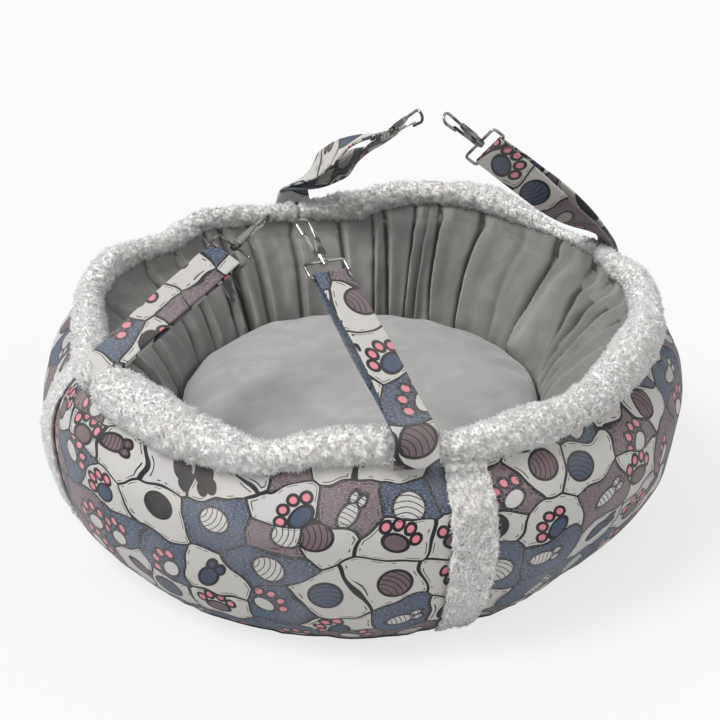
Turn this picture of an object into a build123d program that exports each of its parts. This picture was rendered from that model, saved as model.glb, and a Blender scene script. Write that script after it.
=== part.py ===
from build123d import *
import math
import os

# Round plush cat bed with four hanging straps, in millimetres, +Z up. The origin is the centre of
# the base, on the floor, and four plush bands lie on the X and Y axes. A stuffed ring wall stands
# round a loose crowned cushion, and a plush roll runs along the top of the wall. Four doubled cloth
# straps, each with a wire ring and a sprung swivel hook, are sewn in where the lengths of roll meet.

os.makedirs("parts", exist_ok=True)

# Stuffed wall
BULGE_RADIUS = 252.0
BASE_SETBACK = 49.0
WALL_TOP_SETBACK = 23.0
WALL_TOP_HEIGHT = 149.0
BULGE_DROP = 51.0
RIM_SEAT_WIDTH = 26.0
CAVITY_RADIUS = 148.0
CAVITY_DEPTH = 65.0
CAVITY_SWELL = 8.0
PANEL_THICKNESS = 1.6
LINING_THICKNESS = 1.8
BASE_CLOTH_THICKNESS = 1.5
PADDING_THICKNESS = 26.0
SEWN_GAP = 0.2
QUARTERS = ("front", "right", "back", "left")

# Folds of the lining: angle round the bed in degrees, then width and height as shares
FOLD_WIDTH = 15.0
FOLD_HEIGHT = 5.0
FOLD_ANGLES_AND_SHARES = (
    (4, 0.8, 0.9), (13, 1.0, 1.0), (21, 0.7, 0.8), (29, 1.1, 0.9), (38, 0.8, 0.6), (52, 0.9, 0.5),
    (63, 0.8, 0.9), (69, 0.6, 1.0), (75, 0.7, 0.8), (82, 0.8, 1.0), (89, 0.7, 0.7), (98, 0.9, 0.6),
    (113, 0.8, 0.5), (131, 0.9, 0.5), (152, 1.1, 0.4), (171, 0.8, 0.6), (182, 0.7, 0.7),
    (203, 1.0, 0.5), (226, 0.9, 0.6), (247, 1.1, 0.5), (268, 0.9, 0.6), (287, 1.0, 0.5),
    (305, 0.8, 0.7), (319, 0.9, 0.6), (333, 0.7, 0.8), (348, 0.9, 0.7),
)
FOLD_RUN_SHARES = (0.05, 0.35, 0.7, 0.95)
FOLD_WIDTH_SHARES = (0.4, 1.0, 0.85, 0.45)
FOLD_HEIGHT_SHARES = (0.2, 1.0, 0.8, 0.3)
FOLD_ROOT_SHARE = 0.5

# Plush bands over the seams of the panels
BAND_WIDTH = 34.0
BAND_THICKNESS = 6.0
BAND_EDGE_RADIUS = 4.0
BAND_FOOT_HEIGHT = 2.0

# Plush roll along the top of the wall, in four lengths that narrow where they meet
ROLL_RADIUS = 17.5
ROLL_COVER_THICKNESS = 3.5
ROLL_END_GAP = 0.4
ROLL_RUN_SHARES = (0.0, 0.09, 0.27, 0.5, 0.73, 0.91, 1.0)
ROLL_RADIUS_SHARES = (0.69, 0.8, 1.0, 0.86, 1.0, 0.8, 0.69)
ROLL_FOOT_SHARE = 0.75
ROLL_SIDE_SHARE = 0.8
ROLL_SHOULDER_SHARE = 0.72
ROLL_SHOULDER_RISE_SHARE = 1.6

# Loose cushion
CUSHION_CLEARANCE = 1.5
CUSHION_FOOT_SETBACK = 10.5
CUSHION_EDGE_SETBACK = 5.5
CUSHION_EDGE_RISE = 61.0
CUSHION_CROWN_RISE = 76.0
CUSHION_BROW_SHARE = 0.55
CUSHION_BROW_DROP_SHARE = 0.24
CUSHION_COVER_THICKNESS = 1.6
CUSHION_GAP = 0.3

# Straps: where each is sewn in, the turn of its lean off the inward line, its lean above level,
# its twist at the ring and the turn of its hook on the swivel, all in degrees
STRAP_ANGLES = {
    "front": (261.0, 19.0, 29.0, -5.0, 0.0),
    "left": (196.5, 15.0, 18.0, -25.0, 90.0),
    "back": (86.5, 28.0, 34.0, 0.0, 90.0),
    "right": (8.5, -8.0, 40.0, -75.0, 120.0),
}
STRAP_WIDTH = 28.0
STRAP_LENGTH = 140.0
STRAP_CLOTH_THICKNESS = 1.8
STRAP_SWELL = 14.0
STRAP_HEM_THICKNESS = 1.2
STRAP_HEM_LENGTH = 14.0
STRAP_PIVOT_OUTSET = 1.0
STRAP_PIVOT_RISE = 29.0
STRAP_SEAM_OUTSET = 2.0
STRAP_HINGE_GAP = 0.8
STRAP_RUN_SHARES = (0.36, 0.58, 0.82)
STRAP_SWELL_SHARES = (0.85, 1.0, 0.62)
ANCHOR_THICKNESS = 2.4
ANCHOR_RUN_SHARES = (0.0, 0.5, 0.8, 0.93)
ANCHOR_TURN_SHARES = (0.0, 0.1, 0.7, 1.0)
ANCHOR_THICKNESS_SHARES = (1.0, 1.0, 0.75, 0.5)

# Wire ring in the end of each strap
WIRE_RADIUS = 1.2
RING_INSIDE = 30.0
RING_LENGTH = 13.0
RING_CORNER_RADIUS = 3.0
RING_BAR_CLEARANCE = 0.3
BOSS_RADIUS = 3.2
BOSS_HEIGHT = 3.4

# Swivel rivet and snap hook
RIVET_RADIUS = 1.4
RIVET_HEAD_RADIUS = 2.6
RIVET_HEAD_HEIGHT = 1.2
SWIVEL_CLEARANCE = 0.1
SWIVEL_END_GAP = 0.3
COLLAR_RADIUS = 3.6
COLLAR_HEIGHT = 3.0
HOOK_LENGTH = 41.0
HOOK_HALF_WIDTH = 5.4
HOOK_SPINE_FOOT = 1.9
HOOK_BEND_RADIUS = 4.9
HOOK_NOSE_LENGTH = 14.0
HOOK_NOSE_LEAN = 0.6
CHANNEL_LENGTH = 16.0
CHANNEL_FOOT_WIDTH = 5.6
CHANNEL_FOOT_DEPTH = 4.6
CHANNEL_TIP_WIDTH = 3.2
CHANNEL_TIP_DEPTH = 3.0
CHANNEL_FOOT_OFFSET = 1.0

# Sprung gate leaf
GATE_THICKNESS = 0.8
GATE_WIDTH = 3.0
GATE_KNUCKLE_RADIUS = 0.8
GATE_GAP = 0.3
GATE_OVERLAP = 2.6

# Overrun of every cutting solid
OVERRUN = 1.0

FULL_TURN = math.degrees(2 * math.pi)
QUARTER_TURN = FULL_TURN / len(QUARTERS)
quarter_starts = [3 * QUARTER_TURN, 0.0, QUARTER_TURN, 2 * QUARTER_TURN]

base_radius = BULGE_RADIUS - BASE_SETBACK
wall_top_radius = BULGE_RADIUS - WALL_TOP_SETBACK
bulge_height = WALL_TOP_HEIGHT - BULGE_DROP
lower_arc = (BASE_SETBACK**2 + bulge_height**2) / (2 * BASE_SETBACK)
upper_arc = (WALL_TOP_SETBACK**2 + BULGE_DROP**2) / (2 * WALL_TOP_SETBACK)
cavity_mouth_radius = wall_top_radius - RIM_SEAT_WIDTH
cavity_step_height = WALL_TOP_HEIGHT - CAVITY_DEPTH
rim_radius = wall_top_radius - RIM_SEAT_WIDTH / 2
seam_gap = math.degrees(SEWN_GAP / BULGE_RADIUS)
padding_bottom = BASE_CLOTH_THICKNESS + SEWN_GAP
padding_top = padding_bottom + PADDING_THICKNESS
floor_bottom = padding_top + SEWN_GAP
floor_top = floor_bottom + LINING_THICKNESS
cushion_bottom = floor_top + CUSHION_GAP
cushion_radius = CAVITY_RADIUS - CUSHION_CLEARANCE
cushion_edge_radius = cushion_radius - CUSHION_EDGE_SETBACK
roll_bottom = WALL_TOP_HEIGHT + SEWN_GAP
strap_pivot_radius = wall_top_radius + STRAP_PIVOT_OUTSET
strap_pivot_height = WALL_TOP_HEIGHT + STRAP_PIVOT_RISE
strap_seam_radius = wall_top_radius + STRAP_SEAM_OUTSET
hinge_radius = STRAP_HEM_THICKNESS / 2
bar_hole_radius = WIRE_RADIUS + RING_BAR_CLEARANCE
fold_radius = bar_hole_radius + STRAP_CLOTH_THICKNESS


def save(shape, node):
    """Write one node's solids to its own file."""
    shape.label = node
    export_step(shape, f"parts/{node}.step")


def turned(edges, start=0.0, sweep=FULL_TURN):
    """Solid of revolution about Z of the closed outline that the edges make in the XZ plane."""
    return Rot(0, 0, start) * revolve(Plane.XZ * make_face(edges), Axis.Z, sweep)


def outer_point(height, inset=0.0):
    """Point of the outer wall's outline at a height, set in by inset."""
    arc = lower_arc if height < bulge_height else upper_arc
    reach = math.sqrt((arc - inset) ** 2 - (height - bulge_height) ** 2)
    return (BULGE_RADIUS - arc + reach, height)


def arc_between(low, high, point_at, inset):
    """Arc of the outer wall between two heights."""
    return ThreePointArc(point_at(low, inset), point_at((low + high) / 2, inset), point_at(high, inset))


def wall_arcs(low, high, inset):
    """The two arcs of the outer wall from one height to another, which meet at the bulge."""
    lower = arc_between(low, bulge_height, outer_point, inset)
    upper = arc_between(bulge_height, high, outer_point, inset)
    return [lower, upper]


def wall_skin(low, high, outside, inside, start=0.0, sweep=FULL_TURN):
    """Curved skin of the wall between two insets and two heights."""
    edges = wall_arcs(low, high, outside) + wall_arcs(low, high, inside)
    edges.append(Line(outer_point(low, outside), outer_point(low, inside)))
    edges.append(Line(outer_point(high, outside), outer_point(high, inside)))
    return turned(edges, start, sweep)


def cavity_slope(shift=0.0):
    """Slope of the cavity: its foot, its middle, which swells inwards, and its mouth."""
    foot = (CAVITY_RADIUS + shift, cavity_step_height)
    mouth = (cavity_mouth_radius + shift, WALL_TOP_HEIGHT)
    run = mouth[0] - foot[0]
    rise = mouth[1] - foot[1]
    length = math.hypot(run, rise)
    middle_x = (foot[0] + mouth[0]) / 2 - CAVITY_SWELL * rise / length
    middle_y = (foot[1] + mouth[1]) / 2 + CAVITY_SWELL * run / length
    return foot, (middle_x, middle_y), mouth


def wall_filling(start):
    """Stuffing of one chamber of the ring wall, between an outer panel and the lining."""
    inset = PANEL_THICKNESS + SEWN_GAP
    foot, middle, mouth = cavity_slope(LINING_THICKNESS + SEWN_GAP)
    inner_foot = (foot[0], padding_bottom)
    edges = wall_arcs(padding_bottom, WALL_TOP_HEIGHT, inset)
    edges.append(Line(outer_point(padding_bottom, inset), inner_foot))
    edges.append(Line(inner_foot, foot))
    edges.append(ThreePointArc(foot, middle, mouth))
    edges.append(Line(mouth, outer_point(WALL_TOP_HEIGHT, inset)))
    return turned(edges, start + seam_gap / 2, QUARTER_TURN - seam_gap)


def lining_fold(angle, width_share, height_share):
    """One padded fold of the lining, standing on the slope of the cavity."""
    foot, middle, mouth = cavity_slope()
    slope = ThreePointArc(foot, middle, mouth)
    turn = math.radians(angle)
    tangential = Vector(-math.sin(turn), math.cos(turn), 0)
    root = -FOLD_ROOT_SHARE * LINING_THICKNESS
    sections = []
    for run, width, height in zip(FOLD_RUN_SHARES, FOLD_WIDTH_SHARES, FOLD_HEIGHT_SHARES):
        point = slope @ run
        rise = slope % run
        place = Vector(point.X * math.cos(turn), point.X * math.sin(turn), point.Y)
        uphill = Vector(rise.X * math.cos(turn), rise.X * math.sin(turn), rise.Y)
        half = FOLD_WIDTH * width * width_share / 2
        top = FOLD_HEIGHT * height * height_share
        crest = ThreePointArc((-half, root), (0, top), (half, root))
        face = make_face([crest, Line((-half, root), (half, root))])
        sections.append(Plane(origin=place, x_dir=tangential, z_dir=uphill) * face)
    return loft(sections)


def inner_lining():
    """Cloth lining of the cavity with its gathered folds."""
    foot, middle, mouth = cavity_slope()
    back_foot, back_middle, back_mouth = cavity_slope(LINING_THICKNESS)
    inner_foot = (foot[0], padding_bottom)
    back_inner_foot = (back_foot[0], padding_bottom)
    edges = [
        Line(inner_foot, foot),
        ThreePointArc(foot, middle, mouth),
        Line(mouth, back_mouth),
        ThreePointArc(back_mouth, back_middle, back_foot),
        Line(back_foot, back_inner_foot),
        Line(back_inner_foot, inner_foot),
    ]
    return turned(edges) + [lining_fold(*fold) for fold in FOLD_ANGLES_AND_SHARES]


def outer_panel(start):
    """Quarter of the printed outer cover."""
    sweep = QUARTER_TURN - seam_gap
    return wall_skin(padding_bottom, WALL_TOP_HEIGHT, 0.0, PANEL_THICKNESS, start + seam_gap / 2, sweep)


def plush_band(angle):
    """Plush band over a seam of the panels, with rounded edges."""
    sweep = math.degrees(BAND_WIDTH / BULGE_RADIUS)
    band = wall_skin(
        BAND_FOOT_HEIGHT, WALL_TOP_HEIGHT, -BAND_THICKNESS, -SEWN_GAP, angle - sweep / 2, sweep
    )
    outer_arcs = (lower_arc + BAND_THICKNESS, upper_arc + BAND_THICKNESS)
    long_edges = [
        edge
        for edge in band.edges().filter_by(GeomType.CIRCLE)
        if any(math.isclose(edge.radius, arc, rel_tol=1e-6) for arc in outer_arcs)
    ]
    return fillet(long_edges, BAND_EDGE_RADIUS)


def roll_section(angle, radius, inset):
    """Section of the plush roll: flat where it sits on the wall, with bulging sides."""
    low = roll_bottom + inset
    foot = ROLL_FOOT_SHARE * radius - inset
    side = radius - inset
    side_height = roll_bottom + ROLL_SIDE_SHARE * radius
    shoulder = ROLL_SHOULDER_SHARE * side
    shoulder_height = roll_bottom + ROLL_SHOULDER_RISE_SHARE * radius - inset / 2
    crest_height = roll_bottom + 2 * radius - inset
    edges = [
        Line((rim_radius - foot, low), (rim_radius + foot, low)),
        ThreePointArc(
            (rim_radius + foot, low),
            (rim_radius + side, side_height),
            (rim_radius + shoulder, shoulder_height),
        ),
        ThreePointArc(
            (rim_radius + shoulder, shoulder_height),
            (rim_radius, crest_height),
            (rim_radius - shoulder, shoulder_height),
        ),
        ThreePointArc(
            (rim_radius - shoulder, shoulder_height),
            (rim_radius - side, side_height),
            (rim_radius - foot, low),
        ),
    ]
    return Rot(0, 0, angle) * (Plane.XZ * make_face(edges))


def roll_body(start, sweep, inset):
    """Length of the roll from one strap to the next, swelling in two lobes."""
    sections = []
    for run, radius in zip(ROLL_RUN_SHARES, ROLL_RADIUS_SHARES):
        sections.append(roll_section(start + run * sweep, ROLL_RADIUS * radius, inset))
    return loft(sections)


def rim_roll(start, end):
    """Cover and stuffing of one length of the roll."""
    gap = math.degrees(ROLL_END_GAP / rim_radius)
    wall = math.degrees(ROLL_COVER_THICKNESS / rim_radius)
    fill_gap = math.degrees(SEWN_GAP / rim_radius)
    sweep = end - start - gap
    outside = roll_body(start + gap / 2, sweep, 0.0)
    hollow = roll_body(start + gap / 2 + wall, sweep - 2 * wall, ROLL_COVER_THICKNESS)
    inner = wall + fill_gap
    filling = roll_body(start + gap / 2 + inner, sweep - 2 * inner, ROLL_COVER_THICKNESS + SEWN_GAP)
    return outside - hollow, filling


def cushion_body(inset):
    """Crowned cushion with its sides drawn in towards the foot and the top edge."""
    bottom = cushion_bottom + inset
    edge_height = cushion_bottom + CUSHION_EDGE_RISE
    crown = cushion_bottom + CUSHION_CROWN_RISE - inset
    brow_radius = CUSHION_BROW_SHARE * cushion_edge_radius
    brow_drop = CUSHION_BROW_DROP_SHARE * (CUSHION_CROWN_RISE - CUSHION_EDGE_RISE)
    crown_arc = (brow_radius**2 + brow_drop**2) / (2 * brow_drop)
    half_drop = crown_arc - math.sqrt(crown_arc**2 - (brow_radius / 2) ** 2)
    foot = (cushion_radius - CUSHION_FOOT_SETBACK - inset, bottom)
    side = (cushion_radius - inset, (bottom + edge_height) / 2)
    edge = (cushion_edge_radius - inset, edge_height - inset / 2)
    brow = (brow_radius, crown - brow_drop)
    edges = [
        Line((0, bottom), foot),
        ThreePointArc(foot, side, edge),
        TangentArc(brow, edge, tangent=(crown_arc - brow_drop, -brow_radius)),
        ThreePointArc(brow, (brow_radius / 2, crown - half_drop), (0, crown)),
        Line((0, crown), (0, bottom)),
    ]
    return turned(edges)


def strap_axes(name):
    """Hinge point of a strap, its across and along directions, and the direction it leans in."""
    angle, turn, lean, _, _ = STRAP_ANGLES[name]
    place = math.radians(angle)
    heading = math.radians(angle + turn + FULL_TURN / 2)
    pivot = Vector(
        strap_pivot_radius * math.cos(place), strap_pivot_radius * math.sin(place), strap_pivot_height
    )
    level = Vector(math.cos(heading), math.sin(heading), 0)
    across = Vector(level.Y, -level.X, 0)
    rise = math.radians(lean)
    along = level * math.cos(rise) + Vector(0, 0, 1) * math.sin(rise)
    return pivot, across, along


def rolled(across, along, degrees):
    """The across direction, turned about the along direction."""
    return across * math.cos(math.radians(degrees)) + across.cross(along) * math.sin(math.radians(degrees))


def strap_plane(name, run):
    """Plane square to a strap, at a distance from its hinge."""
    pivot, across, along = strap_axes(name)
    twist = STRAP_ANGLES[name][3] * run / STRAP_LENGTH
    return Plane(origin=pivot + along * run, x_dir=rolled(across, along, twist), z_dir=along)


def strap_loop(name):
    """Doubled cloth strap: two layers that part in the middle and fold round the ring's bar."""
    doubled = 2 * STRAP_CLOTH_THICKNESS
    start = hinge_radius + STRAP_HINGE_GAP
    outside = [(start, STRAP_HEM_THICKNESS), (STRAP_HEM_LENGTH, doubled)]
    hollow = [(STRAP_HEM_LENGTH, RING_BAR_CLEARANCE)]
    for run, swell in zip(STRAP_RUN_SHARES, STRAP_SWELL_SHARES):
        thickness = doubled + swell * (STRAP_SWELL - doubled)
        outside.append((run * STRAP_LENGTH, thickness))
        hollow.append((run * STRAP_LENGTH, thickness - doubled))
    outside.append((STRAP_LENGTH, 2 * fold_radius))
    hollow.append((STRAP_LENGTH, 2 * bar_hole_radius))
    end = strap_plane(name, STRAP_LENGTH)
    across_end = Rot(0, QUARTER_TURN, 0)
    fold = end * across_end * Cylinder(fold_radius, STRAP_WIDTH)
    bar_hole = end * across_end * Cylinder(bar_hole_radius, STRAP_WIDTH + OVERRUN)
    layers = loft([strap_plane(name, run) * Rectangle(STRAP_WIDTH, size) for run, size in outside])
    gap = loft([strap_plane(name, run) * Rectangle(STRAP_WIDTH + OVERRUN, size) for run, size in hollow])
    return layers + fold - gap - bar_hole


def strap_anchor(name):
    """Foot of a strap, sewn into the seam under the roll and bent to the line of the strap."""
    pivot, across, along = strap_axes(name)
    angle, turn = STRAP_ANGLES[name][:2]
    place = math.radians(angle)
    rise = strap_pivot_height - roll_bottom
    step = strap_seam_radius - strap_pivot_radius
    sections = []
    for run, share, thickness in zip(ANCHOR_RUN_SHARES, ANCHOR_TURN_SHARES, ANCHOR_THICKNESS_SHARES):
        reach = strap_seam_radius - run * step
        origin = Vector(reach * math.cos(place), reach * math.sin(place), roll_bottom + run * rise)
        facing = math.radians(angle + turn * share + QUARTER_TURN)
        tangential = Vector(math.cos(facing), math.sin(facing), 0)
        plane = Plane(origin=origin, x_dir=tangential, z_dir=Vector(0, 0, 1))
        sections.append(plane * Rectangle(STRAP_WIDTH, thickness * ANCHOR_THICKNESS))
    top = Plane(origin=pivot, x_dir=across, z_dir=Vector(0, 0, 1))
    sections.append(top * Rectangle(STRAP_WIDTH, STRAP_HEM_THICKNESS))
    hem = top * Rot(0, QUARTER_TURN, 0) * Cylinder(hinge_radius, STRAP_WIDTH)
    return loft(sections, ruled=True) + hem


def ring_plane(name):
    """Plane of a strap's ring: its bar along x, the strap's direction along y."""
    across = strap_plane(name, STRAP_LENGTH).x_dir
    pivot, _, along = strap_axes(name)
    return Plane(origin=pivot + along * STRAP_LENGTH, x_dir=across, z_dir=across.cross(along))


def wire_ring(name):
    """Rounded wire ring with a pierced boss in its top bar."""
    frame = Pos(0, RING_LENGTH / 2, 0) * RectangleRounded(
        RING_INSIDE + 2 * WIRE_RADIUS, RING_LENGTH, RING_CORNER_RADIUS
    )
    path = frame.wire()
    wire = sweep(Plane(origin=path @ 0, z_dir=path % 0) * Circle(WIRE_RADIUS), path)
    upright = Pos(0, RING_LENGTH, 0) * Rot(QUARTER_TURN, 0, 0)
    boss = upright * Cylinder(BOSS_RADIUS, BOSS_HEIGHT)
    hole = upright * Cylinder(RIVET_RADIUS + SWIVEL_CLEARANCE, BOSS_HEIGHT + OVERRUN)
    return ring_plane(name) * (wire + boss - hole)


def hook_plane(name):
    """Plane of a hook: its spine on the x side, its length along y from the ring's boss."""
    ring = ring_plane(name)
    along = ring.y_dir
    across = rolled(ring.x_dir, along, STRAP_ANGLES[name][4])
    return Plane(origin=ring.origin + along * RING_LENGTH, x_dir=across, z_dir=across.cross(along))


def upright_cylinder(radius, low, high):
    """Cylinder along the hook's length between two distances."""
    return Pos(0, (low + high) / 2, 0) * Rot(QUARTER_TURN, 0, 0) * Cylinder(radius, high - low)


def swivel_rivet(name):
    """Rivet that holds the hook to the ring and turns in its boss."""
    half = BOSS_HEIGHT / 2
    head_top = -half - SWIVEL_END_GAP
    shank = upright_cylinder(RIVET_RADIUS, head_top, half + SWIVEL_END_GAP)
    head = upright_cylinder(RIVET_HEAD_RADIUS, head_top - RIVET_HEAD_HEIGHT, head_top)
    return hook_plane(name) * (shank + head)


collar_low = BOSS_HEIGHT / 2 + SWIVEL_END_GAP
collar_high = collar_low + COLLAR_HEIGHT
hook_top = HOOK_LENGTH - WIRE_RADIUS
nose_end = hook_top - HOOK_NOSE_LENGTH
nose_x = -HOOK_HALF_WIDTH + HOOK_NOSE_LEAN
gate_x = nose_x + WIRE_RADIUS + GATE_GAP + GATE_THICKNESS / 2
gate_y = collar_high + GATE_GAP + GATE_KNUCKLE_RADIUS


def channel_section(height, offset, width, depth):
    """Section of the stamped channel, square to the hook's length."""
    return Plane(origin=(offset, height, 0), x_dir=(1, 0, 0), z_dir=(0, 1, 0)) * Rectangle(width, depth)


def hook_body(name):
    """Snap hook: collar, tapered channel, and a round spine bent over into the nose."""
    spine_foot = (HOOK_SPINE_FOOT, collar_low)
    corners = [spine_foot, (HOOK_HALF_WIDTH, hook_top), (-HOOK_HALF_WIDTH, hook_top), (nose_x, nose_end)]
    path = FilletPolyline(*corners, radius=HOOK_BEND_RADIUS)
    arm = sweep(Plane(origin=path @ 0, z_dir=path % 0) * Circle(WIRE_RADIUS), path)
    spine_lean = (HOOK_HALF_WIDTH - HOOK_SPINE_FOOT) / (hook_top - collar_low)
    tip_offset = HOOK_SPINE_FOOT + spine_lean * (collar_high + CHANNEL_LENGTH - collar_low)
    channel = loft(
        [
            channel_section(collar_high, CHANNEL_FOOT_OFFSET, CHANNEL_FOOT_WIDTH, CHANNEL_FOOT_DEPTH),
            channel_section(collar_high + CHANNEL_LENGTH, tip_offset, CHANNEL_TIP_WIDTH, CHANNEL_TIP_DEPTH),
        ]
    )
    collar = upright_cylinder(COLLAR_RADIUS, collar_low, collar_high)
    return hook_plane(name) * (collar + channel + arm)


def gate_leaf(name):
    """Sprung leaf that closes the hook from the inside of its nose."""
    tip = nose_end + GATE_OVERLAP
    leaf = Pos(gate_x, (gate_y + tip) / 2, 0) * Box(GATE_THICKNESS, tip - gate_y, GATE_WIDTH)
    knuckle = Pos(gate_x, gate_y, 0) * Cylinder(GATE_KNUCKLE_RADIUS, GATE_WIDTH)
    return hook_plane(name) * (leaf + knuckle)


save(Pos(0, 0, BASE_CLOTH_THICKNESS / 2) * Cylinder(base_radius, BASE_CLOTH_THICKNESS), "base_cloth")
inner_radius = CAVITY_RADIUS - SEWN_GAP
padding = Cylinder(inner_radius, PADDING_THICKNESS)
save(Pos(0, 0, (padding_bottom + padding_top) / 2) * padding, "base_padding")
save(Pos(0, 0, (floor_bottom + floor_top) / 2) * Cylinder(inner_radius, LINING_THICKNESS), "floor_lining")
save(inner_lining(), "inner_lining")
for quarter, band_angle in zip(QUARTERS, quarter_starts):
    save(plush_band(band_angle), f"plush_band_{quarter}")
    save(outer_panel(band_angle), f"outer_panel_{quarter}_corner")
    save(wall_filling(band_angle), f"wall_filling_{quarter}_corner")

cushion = cushion_body(0.0)
save(cushion - cushion_body(CUSHION_COVER_THICKNESS), "cushion_cover")
save(cushion_body(CUSHION_COVER_THICKNESS + SEWN_GAP), "cushion_filling")

strap_places = sorted((STRAP_ANGLES[name][0], name) for name in STRAP_ANGLES)
next_places = strap_places[1:] + strap_places[:1]
for (start_angle, start_name), (end_angle, end_name) in zip(strap_places, next_places):
    if end_angle < start_angle:
        end_angle += FULL_TURN
    cover, filling = rim_roll(start_angle, end_angle)
    save(cover, f"rim_roll_{start_name}_to_{end_name}")
    save(filling, f"rim_filling_{start_name}_to_{end_name}")

for strap in STRAP_ANGLES:
    save(strap_anchor(strap), f"strap_anchor_{strap}")
    save(strap_loop(strap), f"strap_{strap}")
    save(wire_ring(strap), f"wire_ring_{strap}")
    save(swivel_rivet(strap), f"swivel_rivet_{strap}")
    save(hook_body(strap), f"hook_body_{strap}")
    save(gate_leaf(strap), f"gate_leaf_{strap}")
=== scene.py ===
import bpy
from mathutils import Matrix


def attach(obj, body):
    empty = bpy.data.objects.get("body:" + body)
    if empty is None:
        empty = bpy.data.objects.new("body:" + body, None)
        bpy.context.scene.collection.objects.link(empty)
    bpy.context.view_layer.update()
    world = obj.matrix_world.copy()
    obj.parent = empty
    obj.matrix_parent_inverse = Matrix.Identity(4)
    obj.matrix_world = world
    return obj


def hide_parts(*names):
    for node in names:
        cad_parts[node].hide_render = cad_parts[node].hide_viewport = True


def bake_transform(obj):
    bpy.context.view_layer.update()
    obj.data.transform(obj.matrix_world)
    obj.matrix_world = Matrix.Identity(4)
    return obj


bl_info = {
    "name": "Plush Cat Bed Finish",
    "version": (1, 0, 0),
    "blender": (4, 5, 0),
    "location": "3D View > Sidebar > Cat Bed",
    "description": "Cloth, plush, cushion and metal finish of a round cat bed with four hanging straps",
    "category": "Object",
}

import math

import bmesh
import bpy
import numpy as np
from bpy.props import FloatProperty, FloatVectorProperty, IntProperty, PointerProperty
from bpy.types import Operator, Panel, PropertyGroup
from mathutils import Vector, noise

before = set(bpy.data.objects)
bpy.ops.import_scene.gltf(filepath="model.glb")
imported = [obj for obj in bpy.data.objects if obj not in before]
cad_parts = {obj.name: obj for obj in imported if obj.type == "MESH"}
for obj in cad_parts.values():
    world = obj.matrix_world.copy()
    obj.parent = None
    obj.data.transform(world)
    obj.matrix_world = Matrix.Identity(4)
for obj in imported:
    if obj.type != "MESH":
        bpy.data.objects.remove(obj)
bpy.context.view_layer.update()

MM = 0.001
FULL_TURN = 360.0

# Stuffed wall, in metres
BULGE_RADIUS = 0.252
BASE_RADIUS = 0.203
WALL_TOP_RADIUS = 0.229
WALL_TOP = 0.149
BULGE_HEIGHT = 0.098
RIM_RADIUS = 0.216
CAVITY_RADIUS = 0.148
CAVITY_STEP = 0.084
CAVITY_MOUTH = 0.203
CAVITY_SWELL = 0.008
ROLL_HEIGHT = 0.1665
LOWER_ARC = ((BULGE_RADIUS - BASE_RADIUS) ** 2 + BULGE_HEIGHT**2) / (2 * (BULGE_RADIUS - BASE_RADIUS))
UPPER_RISE = WALL_TOP - BULGE_HEIGHT
UPPER_RUN = BULGE_RADIUS - WALL_TOP_RADIUS
UPPER_ARC = (UPPER_RUN**2 + UPPER_RISE**2) / (2 * UPPER_RUN)

QUARTERS = {"front": 270.0, "right": 0.0, "back": 90.0, "left": 180.0}

# Straps: sewn angle, turn of the lean, lean above level and twist at the ring, in degrees
STRAPS = {
    "front": (261.0, 19.0, 29.0, -5.0),
    "left": (196.5, 15.0, 18.0, -25.0),
    "back": (86.5, 28.0, 34.0, 0.0),
    "right": (8.5, -8.0, 40.0, -75.0),
}
# Turn of the middle of each strap, on top of its twist, in degrees
MIDDLE_TURNS = {"front": 0.0, "left": 0.0, "back": -52.0, "right": 0.0}
# How far the two layers of each strap part
STRAP_GAPS = {"front": 0.9, "left": 0.4, "back": 1.5, "right": 1.0}
ROLL_LENGTHS = (
    ("right", "back", 8.5, 86.5),
    ("back", "left", 86.5, 196.5),
    ("left", "front", 196.5, 261.0),
    ("front", "right", 261.0, 368.5),
)


def size_setting(name, description, default):
    """Setting in metres."""
    return FloatProperty(name=name, description=description, default=default, unit="LENGTH")


def color_setting(name, description, default):
    """Setting that is a colour."""
    return FloatVectorProperty(name=name, description=description, default=default, subtype="COLOR")


def number_setting(name, description, default):
    """Setting without a unit."""
    return FloatProperty(name=name, description=description, default=default)


class CatBedWall(PropertyGroup):
    """Sizes of the stuffed wall."""

    seam_dip: size_setting("Seam Dip", "How deep the bands draw the wall in", 0.006)
    seam_reach: size_setting("Seam Reach", "How far a dip runs along the wall", 0.034)
    sag_depth: size_setting("Sag", "How far the lower wall slumps in", 0.012)
    wave_height: size_setting("Waves", "Height of the waves of the stuffing", 0.004)
    gather_height: size_setting("Gathers", "Height of the gathers at the seams", 0.0016)


class CatBedPlush(PropertyGroup):
    """Sizes and colours of the plush."""

    clump_size: size_setting("Clump Size", "Width of a curl of pile", 0.0072)
    clump_height: size_setting("Clump Height", "Height of a curl of pile", 0.0030)
    tuft_length: size_setting("Tuft Length", "Length of a tuft of pile", 0.0026)
    tuft_width: size_setting("Tuft Width", "Width of a tuft at its root", 0.0012)
    tuft_area: number_setting("Tuft Area", "Area of cloth for each tuft", 2.0e-6)
    color: color_setting("Pile", "Colour of the pile", (0.93, 0.915, 0.885))
    # Painted shade: the darker colour the material puts low between the curls and at the roots of the tufts
    root_shade_color: color_setting("Painted Root Shade", "Painted shade between the curls", (0.80, 0.79, 0.755))
    seed: IntProperty(name="Seed", description="Start of the random draws", default=7)


class CatBedLining(PropertyGroup):
    """Sizes and colours of the lining and its folds."""

    fold_height: size_setting("Fold Height", "Height of the folds", 0.0095)
    color: color_setting("Lining", "Colour of the brushed cloth", (0.180, 0.177, 0.169))
    light_color: color_setting("Nap", "Colour of the brushed streaks", (0.280, 0.276, 0.266))


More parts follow.
